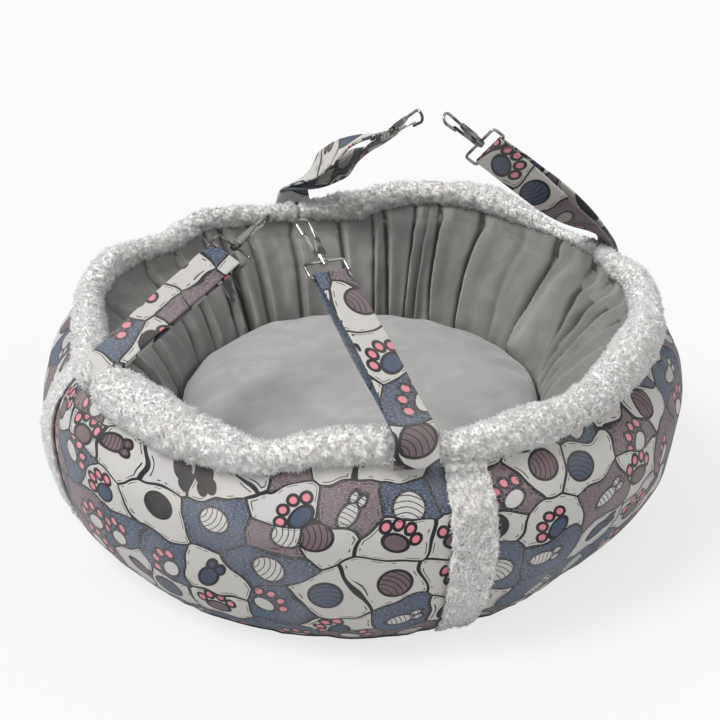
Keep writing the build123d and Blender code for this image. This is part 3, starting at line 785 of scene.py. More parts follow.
# Straps
STRAP_PIVOT_RADIUS = 0.230
STRAP_PIVOT_HEIGHT = 0.178
STRAP_SEAM_RADIUS = 0.2315
STRAP_SEAM_HEIGHT = 0.152
STRAP_RUNS = (0.0, 0.014, 0.0504, 0.0812, 0.1148, 0.140)
LAYER_OFFSETS = (0.0009, 0.0009, 0.0053, 0.0061, 0.0041, 0.0024)
FOOT_LENGTH = STRAP_PIVOT_HEIGHT - STRAP_SEAM_HEIGHT


def unit(vectors):
    """Vectors of length 1."""
    return vectors / np.linalg.norm(vectors, axis=1)[:, None]


def turned_about(vectors, axes, degrees):
    """Vectors square to their axes, turned about them."""
    turn = np.radians(degrees)[:, None]
    return vectors * np.cos(turn) + np.cross(vectors, axes) * np.sin(turn)


def strap_directions(name):
    """Fold point of a strap, its across and along directions, at rest."""
    angle, turn, lean, _ = STRAPS[name]
    place, heading, rise = math.radians(angle), math.radians(angle + turn + 180.0), math.radians(lean)
    pivot = np.array([STRAP_PIVOT_RADIUS * math.cos(place), STRAP_PIVOT_RADIUS * math.sin(place), STRAP_PIVOT_HEIGHT])
    level = np.array([math.cos(heading), math.sin(heading), 0.0])
    across = np.array([level[1], -level[0], 0.0])
    along = level * math.cos(rise) + np.array([0.0, 0.0, math.sin(rise)])
    return pivot, across, along


# How a strap takes up its twist, and shares of its length where its middle turns and turns back
TWIST_POWER = 2.2
TURN_STARTS, TURN_ENDS = (0.0, 0.4), (0.5, 0.9)
FOOT_BOW = 0.0015


def strap_line(name, reach):
    """Middle line of a strap from its seam, at -FOOT_LENGTH, to its ring, with its across directions."""
    pivot, across, along = strap_directions(name)
    angle, turn, _, twist = STRAPS[name]
    foot = np.clip(-reach / FOOT_LENGTH, 0.0, 1.0)
    height = STRAP_PIVOT_HEIGHT - foot * FOOT_LENGTH
    radius = STRAP_PIVOT_RADIUS + foot * (STRAP_SEAM_RADIUS - STRAP_PIVOT_RADIUS) + FOOT_BOW * np.sin(np.pi * foot)
    below = round_points(radius, np.full(len(reach), angle), height)
    above = pivot + along * np.maximum(reach, 0.0)[:, None]
    points = np.where(reach[:, None] < 0.0, below, above)
    facing = np.radians(angle + turn * smooth_step(-foot, -0.9, -0.15) + 90.0)
    level = np.stack([np.cos(facing), np.sin(facing), np.zeros(len(reach))], axis=1)
    run = np.clip(reach / bpy.context.scene.cat_bed_straps.length, 0.0, 1.0)
    middle = smooth_step(run, *TURN_STARTS) * (1.0 - smooth_step(run, *TURN_ENDS))
    roll = twist * (1.0 - (1.0 - run) ** TWIST_POWER) + MIDDLE_TURNS[name] * middle
    rolled = turned_about(np.tile(across, (len(reach), 1)), np.tile(along, (len(reach), 1)), roll)
    sides = np.where(reach[:, None] < 0.0, level, rolled)
    return points, sides


def softened(values, count):
    """Values averaged along a line, with its ends kept."""
    kernel = np.ones(2 * count + 1) / (2 * count + 1)
    padded = np.pad(values, ((count, count), (0, 0)), mode="edge")
    smooth = np.stack([np.convolve(padded[:, axis], kernel, mode="valid") for axis in range(3)], axis=1)
    smooth[0], smooth[-1] = values[0], values[-1]
    return smooth


STRAP_STEP = 0.0020
STRAP_COLUMNS = 14
# Past this reach the two layers lie against the ring
RING_REACH = 0.115
FOLD_SMOOTHING = 0.020
CLOTH_BOW, CLOTH_BOW_SIZE = 0.0008, 0.025


def strap_frames(name, straps):
    """Evenly spaced middle line of a strap with its across and outward directions and layer offsets."""
    reach = np.arange(-FOOT_LENGTH, straps.length + 1e-6, STRAP_STEP)
    points, sides = strap_line(name, reach)
    near_fold = np.abs(reach)[:, None] < FOLD_SMOOTHING
    points = np.where(near_fold, softened(points, 3), points)
    sides = unit(softened(sides, 3))
    ahead = unit(np.gradient(points, axis=0))
    outward = unit(np.cross(ahead, sides))
    if outward[0] @ np.array([points[0][0], points[0][1], 0.0]) < 0.0:
        outward = -outward
    offsets = np.interp(reach, STRAP_RUNS, LAYER_OFFSETS)
    offsets = 0.001 + (offsets - 0.001) * np.where(reach < RING_REACH, STRAP_GAPS[name], 1.0)
    offsets = np.convolve(np.pad(offsets, 4, mode="edge"), np.ones(9) / 9, mode="valid")
    return reach, points, sides, ahead, outward, offsets


def line_at(index, values):
    """Rows of an array at places between them."""
    stations = np.arange(len(values))
    return np.stack([np.interp(index, stations, values[:, axis]) for axis in range(values.shape[1])], axis=1)


def strap_mesh(name, straps):
    """Doubled strap: out along its outer layer, round the ring's bar and back along the inner one."""
    reach, points, sides, ahead, outward, offsets = strap_frames(name, straps)
    bow = CLOTH_BOW * waves(points, CLOTH_BOW_SIZE, 97.0)
    outer = points + outward * (offsets + bow)[:, None]
    inner = (points - outward * (offsets + 0.6 * bow)[:, None])[::-1]
    turn = np.radians(np.linspace(90.0, -90.0, 9)[1:-1])[:, None]
    bend = points[-1] + offsets[-1] * (np.cos(turn) * ahead[-1] + np.sin(turn) * outward[-1])
    line = np.concatenate([outer, bend, inner])
    across = np.concatenate([sides, np.tile(sides[-1], (len(bend), 1)), sides[::-1]])
    reaches = np.concatenate([reach, np.full(len(bend), straps.length), reach[::-1]])
    width = straps.width + (straps.foot_width - straps.width) * (1.0 - smooth_step(reaches, -0.01, 0.05))
    along = np.concatenate([[0.0], np.cumsum(np.linalg.norm(np.diff(line, axis=0), axis=1))])

    def place(run, rise):
        index = rise * (len(line) - 1)
        across_cloth = (run - 0.5)[:, None] * line_at(index, width[:, None])
        return line_at(index, line) + line_at(index, across) * across_cloth

    mesh = wrapped_grid(f"strap_cloth_{name}", STRAP_COLUMNS, len(line) - 1, place, (straps.width, along[-1]))
    change_uv(mesh, shift=(0.31 * (1 + list(STRAPS).index(name)), 0.17))
    return mesh


# Materials
def feed(tree, inputs, feeds):
    """Feeds inputs with numbers, colours or sockets."""
    for name, value in feeds.items():
        if isinstance(value, bpy.types.NodeSocket):
            tree.links.new(value, inputs[name])
        else:
            inputs[name].default_value = value


def put(tree, kind, feeds=None, **choices):
    """Adds a node, sets its choices and feeds its inputs."""
    item = tree.nodes.new(kind)
    for name, value in choices.items():
        setattr(item, name, value)
    feed(tree, item.inputs, feeds or {})
    return item


def calc(tree, operation, first, second=0.0, third=0.0):
    """Sum of a Math node."""
    return put(tree, "ShaderNodeMath", {0: first, 1: second, 2: third}, operation=operation).outputs[0]


def times(tree, first, second):
    """Product of two values."""
    return calc(tree, "MULTIPLY", first, second)


def clouds(tree, vector, scale, detail, distortion=0.0, **choices):
    """Noise texture."""
    feeds = {"Vector": vector, "Scale": scale, "Detail": detail, "Distortion": distortion}
    return put(tree, "ShaderNodeTexNoise", feeds, **choices)


def vector_calc(tree, operation, first, second=(0.0, 0.0, 0.0)):
    """Vector of a Vector Math node."""
    return put(tree, "ShaderNodeVectorMath", {0: first, 1: second}, operation=operation).outputs["Vector"]


def vector_length(tree, vector):
    """Length of a vector."""
    return put(tree, "ShaderNodeVectorMath", {0: vector}, operation="LENGTH").outputs["Value"]


def span(tree, value, low, high, start=0.0, end=1.0, smooth=True):
    """A value's place between two others, from start to end."""
    kind = "SMOOTHSTEP" if smooth else "LINEAR"
    feeds = {0: value, 1: low, 2: high, 3: start, 4: end}
    return put(tree, "ShaderNodeMapRange", feeds, interpolation_type=kind, clamp=True).outputs[0]


def mixed(tree, factor, first, second, mode="MIX"):
    """Two colours mixed."""
    feeds = {0: factor, 6: opaque(first), 7: opaque(second)}
    return put(tree, "ShaderNodeMix", feeds, data_type="RGBA", blend_type=mode).outputs[2]


def opaque(color):
    """Colour with its alpha, or the socket as it is."""
    return color if isinstance(color, bpy.types.NodeSocket) else (*tuple(color)[:3], 1.0)


def shaded(color, share):
    """Colour made darker or lighter."""
    return [share * value for value in color]


def dusted(tree, color, groups, place, scale, share, dust):
    """Colour with uneven patches of another over it."""
    patch = group_node(tree, groups["dust"], {"Vector": place, "Scale": scale})
    return mixed(tree, times(tree, patch["Mask"], share), color, dust)


def new_group(name, inputs, outputs):
    """Shader node group with named inputs and outputs."""
    tree = bpy.data.node_groups.new(name, "ShaderNodeTree")
    for side, sockets in (("INPUT", inputs), ("OUTPUT", outputs)):
        for label, kind in sockets.items():
            tree.interface.new_socket(name=label, in_out=side, socket_type=f"NodeSocket{kind}")
    return tree, tree.nodes.new("NodeGroupInput").outputs, tree.nodes.new("NodeGroupOutput").inputs


def group_node(tree, group, feeds):
    """Places a group in a material."""
    item = tree.nodes.new("ShaderNodeGroup")
    item.node_tree = group
    for name, value in feeds.items():
        feed(tree, item.inputs, {name: value if isinstance(value, float) else opaque(value)})
    return item.outputs


def weave_group():
    """Threads of a plain weave, over and under, from a map in metres, with painted shade in the dips between the
    threads and a painted highlight on their crowns.
    """
    sockets = {"Vector": "Vector", "Thread": "Float"}
    tree, given, made = new_group("Plain Weave", sockets, {"Height": "Float", "Shade": "Float"})
    shaky = clouds(tree, given["Vector"], 900.0, 1.0)
    shift = put(tree, "ShaderNodeVectorMath", {0: shaky.outputs["Color"], "Scale": 0.0003}, operation="SCALE")
    bent = vector_calc(tree, "ADD", given["Vector"], shift.outputs["Vector"])
    parts = put(tree, "ShaderNodeSeparateXYZ", {0: bent})
    rate = calc(tree, "DIVIDE", math.pi, given["Thread"])
    warp = calc(tree, "SINE", times(tree, parts.outputs["X"], rate))
    weft = calc(tree, "SINE", times(tree, parts.outputs["Y"], rate))
    height = calc(tree, "MULTIPLY_ADD", times(tree, warp, weft), 0.5, 0.5)
    tree.links.new(height, made["Height"])
    # Painted shade in the dips between threads and painted highlight on their crowns
    tree.links.new(span(tree, height, 0.0, 1.0, 0.88, 1.04), made["Shade"])
    return tree


def dust_group():
    """Soft uneven patches of handling and dust."""
    tree, given, made = new_group("Handling", {"Vector": "Vector", "Scale": "Float"}, {"Mask": "Float"})
    broad = clouds(tree, given["Vector"], given["Scale"], 5.0)
    tree.links.new(span(tree, broad.outputs[0], 0.35, 0.68), made["Mask"])
    return tree


def disc(tree, vector, centre, size):
    """Distance in millimetres outside an ellipse, below zero inside it."""
    scaled = vector_calc(tree, "DIVIDE", vector_calc(tree, "SUBTRACT", vector, (*centre, 0.0)), (*size, 1.0))
    return times(tree, calc(tree, "SUBTRACT", vector_length(tree, scaled), 1.0), min(size))


def drift(tree, place):
    """Slow sideways drift that makes straight borders wander."""
    bend = clouds(tree, place, 24.0, 1.0, noise_dimensions="2D")
    centred = vector_calc(tree, "SUBTRACT", bend.outputs["Color"], (0.5, 0.5, 0.5))
    return put(tree, "ShaderNodeVectorMath", {0: centred, "Scale": 0.026}, operation="SCALE").outputs["Vector"]


def least(tree, *values):
    """Smallest of some values."""
    result = values[0]
    for value in values[1:]:
        result = calc(tree, "MINIMUM", result, value)
    return result


def either(tree, choice, first, second):
    """One of two values, by a choice of 0 or 1."""
    return put(tree, "ShaderNodeMix", {0: choice, 2: first, 3: second}, data_type="FLOAT").outputs[0]


def rings(tree, place, shift, rate):
    """Waves that run in rings about a shifted centre."""
    away = vector_length(tree, vector_calc(tree, "ADD", place, shift))
    return calc(tree, "SINE", times(tree, away, rate))


# Print: jitter of the patches, scales of their edges and motifs, and most tilt of a motif in radians
PATCH_JITTER, EDGE_SCALE, MOTIF_SCALE, MOST_TILT = 0.62, 40.0, 680.0, 1.1
# Edge distances over which the outline ends and the dashed line inside it starts and ends
OUTLINE_END, ECHO_START, ECHO_END = (1.45, 1.1), (2.6, 2.8), (3.5, 3.3)
# Random draws from 0 to 1 above which a patch of the print takes a motif or a colour
BALL_DRAW, FISH_DRAW = 0.40, 0.72
SLATE_DRAW, MAUVE_DRAW, GREY_DRAW = 0.48, 0.73, 0.93


def print_group(cotton):
    """Crowded outlined pebbles with paws, balls of yarn and fish, from a map in metres."""
    colors = {label: "Color" for label in ("Ground", "Slate", "Mauve", "Grey", "Ink", "Accent")}
    tree, given, made = new_group("Pet Print", {"Vector": "Vector", **colors}, {"Color": "Color", "Dyed": "Float"})
    cell_size = (cotton.motif_width, cotton.motif_height, 1.0)
    place = vector_calc(tree, "ADD", given["Vector"], drift(tree, given["Vector"]))
    cells = vector_calc(tree, "DIVIDE", place, cell_size)
    feeds = {"Vector": cells, "Scale": 1.0, "Randomness": PATCH_JITTER}
    near = put(tree, "ShaderNodeTexVoronoi", feeds, voronoi_dimensions="2D")
    border = put(tree, "ShaderNodeTexVoronoi", feeds, voronoi_dimensions="2D", feature="DISTANCE_TO_EDGE")
    draw = put(tree, "ShaderNodeSeparateColor", {0: near.outputs["Color"]})
    hue, tilt, kind = draw.outputs[0], draw.outputs[1], draw.outputs[2]
    edge = times(tree, border.outputs["Distance"], EDGE_SCALE)
    centre = vector_calc(tree, "MULTIPLY", near.outputs["Position"], cell_size)
    centre = vector_calc(tree, "SUBTRACT", centre, drift(tree, centre))
    away = vector_calc(tree, "SUBTRACT", given["Vector"], centre)
    away = vector_calc(tree, "MULTIPLY", away, (MOTIF_SCALE, MOTIF_SCALE, 0.0))
    angle = span(tree, tilt, 0.0, 1.0, -MOST_TILT, MOST_TILT, smooth=False)
    local = put(tree, "ShaderNodeVectorRotate", {"Vector": away, "Angle": angle}, rotation_type="Z_AXIS").outputs[0]
    parts = put(tree, "ShaderNodeSeparateXYZ", {0: local})
    across, up = parts.outputs["X"], parts.outputs["Y"]
    both_sides = put(tree, "ShaderNodeCombineXYZ", {0: calc(tree, "ABSOLUTE", across), 1: up}).outputs[0]
    up_down = put(tree, "ShaderNodeCombineXYZ", {0: across, 1: calc(tree, "ABSOLUTE", up)}).outputs[0]

    pad = disc(tree, local, (0.0, -3.0), (6.4, 4.8))
    toes = least(tree, disc(tree, both_sides, (8.0, 2.6), (2.5, 3.1)), disc(tree, both_sides, (3.1, 6.6), (2.4, 3.1)))
    paw = least(tree, pad, toes)
    ball = disc(tree, local, (0.0, 0.0), (8.2, 8.0))
    fish = least(tree, disc(tree, local, (-1.5, 0.0), (7.6, 4.4)), disc(tree, up_down, (7.6, 2.3), (3.6, 2.2)))
    is_ball = calc(tree, "GREATER_THAN", kind, BALL_DRAW)
    is_fish = calc(tree, "GREATER_THAN", kind, FISH_DRAW)
    shape = either(tree, is_fish, either(tree, is_ball, paw, ball), fish)

    lines = either(tree, is_fish, rings(tree, local, (9.0, 7.0, 0.0), 2.3), rings(tree, local, (16.0, 0.0, 0.0), 2.6))
    inside_lines = times(tree, span(tree, lines, 0.72, 0.9), calc(tree, "MAXIMUM", is_ball, is_fish))
    inside_lines = times(tree, inside_lines, span(tree, shape, -0.6, -1.0))

    outline = span(tree, edge, *OUTLINE_END)
    echo = times(tree, span(tree, edge, *ECHO_START), span(tree, edge, *ECHO_END))
    dashes = clouds(tree, place, 150.0, 0.0, noise_dimensions="2D")
    echo = times(tree, echo, span(tree, dashes.outputs[0], 0.50, 0.54))
    motif = span(tree, shape, 0.3, -0.3)
    rim = times(tree, span(tree, shape, -0.9, -0.6), span(tree, shape, 0.9, 0.6))
    pink_toes = times(tree, span(tree, toes, 0.2, -0.2), calc(tree, "LESS_THAN", kind, BALL_DRAW))

    fill = given["Ground"]
    for draw_share, label in ((SLATE_DRAW, "Slate"), (MAUVE_DRAW, "Mauve"), (GREY_DRAW, "Grey")):
        fill = mixed(tree, calc(tree, "GREATER_THAN", hue, draw_share), fill, given[label])
    dark = times(tree, calc(tree, "GREATER_THAN", hue, SLATE_DRAW), calc(tree, "LESS_THAN", hue, GREY_DRAW))
    contrast = mixed(tree, calc(tree, "GREATER_THAN", tilt, 0.40), given["Slate"], given["Mauve"])
    contrast = mixed(tree, calc(tree, "GREATER_THAN", tilt, 0.80), contrast, given["Ink"])
    contrast = mixed(tree, dark, contrast, given["Ground"])
    color = mixed(tree, motif, fill, contrast)
    color = mixed(tree, pink_toes, color, given["Accent"])
    ink = calc(tree, "MAXIMUM", calc(tree, "MAXIMUM", outline, rim), calc(tree, "MAXIMUM", inside_lines, echo))
    color = mixed(tree, ink, color, given["Ink"])
    tree.links.new(color, made["Color"])
    tree.links.new(dark, made["Dyed"])
    return tree


def new_material(name, base_color):
    """Material with its own shader, and a plain colour for the viewport."""
    material = bpy.data.materials.new(name)
    material.use_nodes = True
    material.diffuse_color = (*tuple(base_color)[:3], 1.0)
    shader = material.node_tree.nodes["Principled BSDF"]
    return material, material.node_tree, shader


def bump(tree, shader, height, distance, strength=1.0):
    """Feeds a height to the shader's normal."""
    item = put(tree, "ShaderNodeBump", {"Height": height, "Distance": distance, "Strength": strength})
    tree.links.new(item.outputs[0], shader.inputs["Normal"])


def object_place(tree):
    """Place on the object, in metres."""
    return tree.nodes.new("ShaderNodeTexCoord").outputs["Object"]


def stretched(tree, place, sizes):
    """Place with its axes stretched."""
    return vector_calc(tree, "MULTIPLY", place, sizes)


def print_material(name, groups, cotton):
    """Printed woven cotton."""
    material, tree, shader = new_material(name, cotton.ground)
    cloth = tree.nodes.new("ShaderNodeUVMap").outputs[0]
    pet = group_node(
        tree, groups["print"],
        {"Vector": cloth, "Ground": cotton.ground, "Slate": cotton.slate, "Mauve": cotton.mauve,
         "Grey": cotton.grey, "Ink": cotton.ink, "Accent": cotton.accent},
    )
    weave = group_node(tree, groups["weave"], {"Vector": cloth, "Thread": 0.00045})
    slub = clouds(tree, stretched(tree, cloth, (420.0, 1500.0, 1.0)), 1.0, 2.0).outputs[0]
    heather = times(tree, span(tree, slub, 0.45, 0.72), times(tree, pet["Dyed"], 0.30))
    color = mixed(tree, heather, pet["Color"], (0.62, 0.64, 0.68))
    color = dusted(tree, color, groups, cloth, 14.0, 0.16, (0.48, 0.45, 0.42))
    # The weave's painted shade and highlight, multiplied into the print's colour
    shade = put(tree, "ShaderNodeCombineXYZ", {axis: weave["Shade"] for axis in range(3)}).outputs[0]
    feed(tree, shader.inputs, {
        "Base Color": mixed(tree, 1.0, color, shade, "MULTIPLY"), "Roughness": span(tree, slub, 0.2, 0.8, 0.78, 0.95),
        "Sheen Weight": 0.12, "Sheen Roughness": 0.5, "Specular IOR Level": 0.25,
    })
    bump(tree, shader, weave["Height"], 0.00012, 0.6)
    return material


def plush_material(name, plush, groups, tint=1.0):
    """Curly plush: pale tips, and painted shade, a warm grey, low between the curls and at the roots of the tufts."""
    pale = shaded(plush.color, tint)
    material, tree, shader = new_material(name, pale)
    place = object_place(tree)
    pile = put(tree, "ShaderNodeAttribute", attribute_name="pile").outputs["Fac"]
    grain = clouds(tree, place, 620.0, 4.0).outputs[0]
    # Painted shade: low pile and tuft roots take the darker root colour, and the grain makes that tone uneven
    depth = calc(tree, "ADD", pile, times(tree, calc(tree, "SUBTRACT", grain, 0.5), 0.5))
    color = mixed(tree, span(tree, depth, 0.12, 0.62), shaded(plush.root_shade_color, tint), pale)
    feed(tree, shader.inputs, {
        "Base Color": dusted(tree, color, groups, place, 22.0, 0.28, (0.74, 0.70, 0.62)),
        "Roughness": span(tree, grain, 0.2, 0.8, 0.85, 1.0), "Sheen Weight": 0.3, "Sheen Roughness": 0.6,
        "Subsurface Weight": 0.75, "Subsurface Radius": (1.0, 0.95, 0.85), "Subsurface Scale": 0.004,
        "Specular IOR Level": 0.1,
    })
    bump(tree, shader, grain, 0.0004, 0.3)
    return material


def lining_material(lining, groups):
    """Brushed cloth with streaks where its nap was stroked, a painted highlight on the ridges of its folds and painted
    shade in their grooves.
    """
    material, tree, shader = new_material("brushed_cloth", lining.color)
    cloth = tree.nodes.new("ShaderNodeUVMap").outputs[0]
    streak = clouds(tree, stretched(tree, cloth, (60.0, 16.0, 1.0)), 1.0, 4.0, 0.6).outputs[0]
    nap = clouds(tree, cloth, 1500.0, 2.0).outputs[0]
    color = mixed(tree, times(tree, span(tree, streak, 0.40, 0.72), 0.6), lining.color, lining.light_color)
    color = dusted(tree, color, groups, cloth, 26.0, 0.22, shaded(lining.color, 0.75))
    color = mixed(tree, span(tree, nap, 0.3, 0.7, 0.0, 0.2), color, shaded(lining.color, 1.5))
    fold = put(tree, "ShaderNodeAttribute", attribute_name="fold").outputs["Fac"]
    # Painted highlight: the ridges of the folds made lighter
    color = mixed(tree, span(tree, fold, 0.25, 0.85, 0.0, 0.55), color, shaded(lining.color, 1.9))
    # Painted shade: the grooves between the folds made much darker
    color = mixed(tree, span(tree, fold, 0.05, -0.40, 0.0, 0.88), color, shaded(lining.color, 0.16))
    feed(tree, shader.inputs, {
        "Base Color": color, "Roughness": span(tree, streak, 0.3, 0.7, 0.62, 0.85),
        "Sheen Weight": 0.45, "Sheen Roughness": 0.35, "Specular IOR Level": 0.25,
    })
    bump(tree, shader, nap, 0.00025, 0.6)
    return material


def velvet_material(cushion, groups):
    """Pale grey velvet, mottled where its pile leans."""
    material, tree, shader = new_material("velvet_cloth", cushion.color)
    place = object_place(tree)
    lean = clouds(tree, place, 17.0, 4.0, 1.2).outputs[0]
    stroke = clouds(tree, stretched(tree, place, (1.0, 3.2, 1.0)), 30.0, 3.0, 0.8).outputs[0]
    nap = clouds(tree, place, 1300.0, 3.0).outputs[0]
    amount = times(tree, span(tree, lean, 0.38, 0.66), span(tree, stroke, 0.25, 0.7, 0.35, 1.0))
    color = mixed(tree, amount, cushion.color, cushion.light_color)
    color = mixed(tree, span(tree, nap, 0.35, 0.65, 0.0, 0.22), color, shaded(cushion.color, 0.72))
    feed(tree, shader.inputs, {
        "Base Color": dusted(tree, color, groups, place, 9.0, 0.12, (0.42, 0.40, 0.38)),
        "Roughness": span(tree, nap, 0.2, 0.8, 0.7, 0.92),
        "Sheen Weight": 0.4, "Sheen Roughness": 0.4, "Specular IOR Level": 0.2,
    })
    bump(tree, shader, nap, 0.0003, 0.55)
    return material


def base_material(groups):
    """Dark woven cloth with rows of rubber dots that keep the bed from sliding."""
    material, tree, shader = new_material("non_slip_cloth", (0.05, 0.05, 0.052))
    place = object_place(tree)
    weave = group_node(tree, groups["weave"], {"Vector": place, "Thread": 0.0009})
    feeds = {"Vector": place, "Scale": 140.0, "Randomness": 0.0}
    dots = put(tree, "ShaderNodeTexVoronoi", feeds, voronoi_dimensions="2D")
    dot = span(tree, dots.outputs["Distance"], 0.3, 0.24)
    color = mixed(tree, dot, (0.055, 0.055, 0.058), (0.018, 0.018, 0.02))
    feed(tree, shader.inputs, {
        "Base Color": dusted(tree, color, groups, place, 16.0, 0.3, (0.16, 0.155, 0.15)),
        "Roughness": span(tree, dot, 0.0, 1.0, 0.9, 0.5),
    })
    bump(tree, shader, calc(tree, "ADD", times(tree, weave["Height"], 0.4), dot), 0.0005, 0.8)
    return material


def nickel_material(metal, groups):
    """Nickel plate with darker patches that are painted dark reflections, fine scratches and dulled patches."""
    material, tree, shader = new_material("nickel_plating", metal.color)
    place = object_place(tree)
    scratch = clouds(tree, stretched(tree, place, (3000.0, 400.0, 900.0)), 1.0, 3.0).outputs[0]
    dull = group_node(tree, groups["dust"], {"Vector": place, "Scale": 320.0})
    # Painted dark reflections: noise patches where the plating colour is made much darker
    runs = clouds(tree, place, 105.0, 0.0).outputs[0]
    color = mixed(tree, span(tree, runs, 0.40, 0.62), metal.color, shaded(metal.color, 0.25))
    rough = calc(tree, "MULTIPLY_ADD", dull["Mask"], 0.10, metal.roughness)
    feed(tree, shader.inputs, {
        "Base Color": mixed(tree, times(tree, dull["Mask"], 0.3), color, shaded(metal.color, 0.5)),
        "Roughness": calc(tree, "MULTIPLY_ADD", span(tree, scratch, 0.4, 0.75), 0.10, rough), "Metallic": 1.0,
    })
    bump(tree, shader, scratch, 0.00004, 0.5)
    return material


def finish_material(name):
    """Material of the bed by its name, made when it is first asked for."""
    made = bpy.data.materials.get(name)
    if made:
        return made
    scene, groups = bpy.context.scene, shared_groups()
    makers = {
        "printed_cloth": lambda: print_material("printed_cloth", groups, scene.cat_bed_print),
        "rim_pile": lambda: plush_material("rim_pile", scene.cat_bed_plush, groups),
        "band_pile": lambda: plush_material("band_pile", scene.cat_bed_plush, groups, 0.93),
        "brushed_cloth": lambda: lining_material(scene.cat_bed_lining, groups),
        "velvet_cloth": lambda: velvet_material(scene.cat_bed_cushion, groups),
        "non_slip_cloth": lambda: base_material(groups),
        "nickel_plating": lambda: nickel_material(scene.cat_bed_metal, groups),
    }
    return makers[name]()


def shared_groups():
    """Node groups that several materials share, built once."""
    made = bpy.data.node_groups
    if "Plain Weave" not in made:
        weave_group()
        dust_group()
        print_group(bpy.context.scene.cat_bed_print)
    return {"weave": made["Plain Weave"], "dust": made["Handling"], "print": made["Pet Print"]}


# Stage and operators
KEY_PLACE, KEY_SPREAD = (-1.1, 0.0, 1.7), 30.0
FILL_PLACE, FILL_SPREAD = (1.2, -1.0, 1.3), 60.0
LIT_PLACE = (0.0, 0.0, 0.1)
FLOOR_REACH = 6.0
FLOOR_GLOW_SHARE = 0.78
SKY_SEEN = 0.965
CAMERA_PLACE, CAMERA_AIM = (-0.4241, -1.2674, 0.7990), (0.0, 0.0, 0.118)
CAMERA_LENS = 94.4


def aim(item, place, target):
    """Puts an object in its place, turned towards a target."""
    item.location = place
    item.rotation_euler = (Vector(target) - Vector(place)).to_track_quat("-Z", "Y").to_euler()


class CATBED_OT_stage(Operator):
    """Floor, soft light and camera"""

    bl_idname = "cat_bed.stage"
    bl_label = "Stage"

    def execute(self, context):
        stage = context.scene.cat_bed_stage
        context.scene.view_settings.view_transform = "Standard"
        self.add_floor(stage)
        self.add_world(context, stage)
        self.add_lamp("key_light", KEY_PLACE, KEY_SPREAD, stage.key_strength)
        self.add_lamp("fill_light", FILL_PLACE, FILL_SPREAD, stage.fill_strength)
        self.add_camera(context)
        return {"FINISHED"}

    def add_floor(self, stage):
        """Pale floor that keeps the bed's shadow and fades to white for the camera."""
        sheet = bmesh.new()
        bmesh.ops.create_grid(sheet, x_segments=1, y_segments=1, size=FLOOR_REACH)
        bmesh.ops.translate(sheet, verts=sheet.verts, vec=(0, 0, -0.1 * MM))
        mesh = mesh_from(sheet, "floor")
        material, tree, shader = new_material("pale_floor", stage.floor_color)
        plain = {"Base Color": opaque(stage.floor_color), "Roughness": 0.9, "Specular IOR Level": 0.0}
        feed(tree, shader.inputs, plain)
        rays = tree.nodes.new("ShaderNodeLightPath").outputs
        seen = calc(tree, "MAXIMUM", rays["Is Camera Ray"], rays["Is Glossy Ray"])
        seen = calc(tree, "MAXIMUM", seen, rays["Is Transmission Ray"])
        glow = put(tree, "ShaderNodeEmission", {"Color": (1.0, 1.0, 1.0, 1.0), "Strength": stage.floor_glow})
        share = times(tree, seen, FLOOR_GLOW_SHARE)
        both = put(tree, "ShaderNodeMixShader", {0: share, 1: shader.outputs[0], 2: glow.outputs[0]})
        tree.links.new(both.outputs[0], tree.nodes["Material Output"].inputs["Surface"])
        mesh.materials.append(material)
        floor = add_object("floor", mesh)

    def add_world(self, context, stage):
        """Even light from all round, white to the camera."""
        world = bpy.data.worlds.new("soft_sky")
        context.scene.world = world
        world.use_nodes = True
        tree = world.node_tree
        sky = tree.nodes["Background"]
        rays = tree.nodes.new("ShaderNodeLightPath").outputs
        way = put(tree, "ShaderNodeSeparateXYZ", {0: tree.nodes.new("ShaderNodeTexCoord").outputs["Generated"]})
        shade = span(tree, way.outputs["Z"], 0.05, 0.85, stage.wall_strength, stage.world_strength)
        strength = either(tree, rays["Is Camera Ray"], shade, SKY_SEEN)
        feed(tree, sky.inputs, {"Color": (1.0, 1.0, 1.0, 1.0), "Strength": strength})

    def add_lamp(self, name, place, spread, strength):
        """Far soft light from a direction, with its spread in degrees."""
        lamp = bpy.data.lights.new(name, "SUN")
        lamp.angle = math.radians(spread)
        lamp.energy = strength
        aim(add_object(name, lamp), place, LIT_PLACE)

    def add_camera(self, context):
        """Camera at the photograph's angle and distance."""
        lens = bpy.data.cameras.new("camera")
        lens.lens = CAMERA_LENS
        lens.sensor_width = 36.0
        lens.clip_start = 0.05
        camera = add_object("camera", lens)
        aim(camera, CAMERA_PLACE, CAMERA_AIM)
        context.scene.camera = camera


COVER_THICKNESS, BASE_THICKNESS = 0.0016, 0.0014
BASE_COLUMNS, BASE_ROWS = 160, 24
BASE_HEIGHT, BASE_INSET = 0.0015, 0.0005


class CATBED_OT_wall_covers(Operator):
    """Four printed quarters of the stuffed wall"""

    bl_idname = "cat_bed.wall_covers"
    bl_label = "Wall Covers"

    def execute(self, context):
        wall = context.scene.cat_bed_wall
        for quarter, start in QUARTERS.items():
            mesh = wall_cover(quarter, start, wall)
            nodes = (f"outer_panel_{quarter}_corner", f"wall_filling_{quarter}_corner")
            piece = new_piece(mesh, finish_material("printed_cloth"), "root", nodes)
            thicken(piece, COVER_THICKNESS)
        return {"FINISHED"}


class CATBED_OT_bands(Operator):
    """Plush bands over the seams of the wall"""

    bl_idname = "cat_bed.bands"
    bl_label = "Plush Bands"

    def execute(self, context):
        wall, plush = context.scene.cat_bed_wall, context.scene.cat_bed_plush
        tree = pile_tree(plush, 0.7)
        for quarter, centre in QUARTERS.items():
            mesh = band_mesh(quarter, centre, wall)
            raise_pile(mesh, plush, 0.6)
            piece = new_piece(mesh, finish_material("band_pile"), "root", (f"plush_band_{quarter}",))
            grow_pile(piece, f"band_pile_{quarter}", tree, finish_material("band_pile"))
            soften_shading(mesh, CLOTH_SOFTNESS)
        return {"FINISHED"}


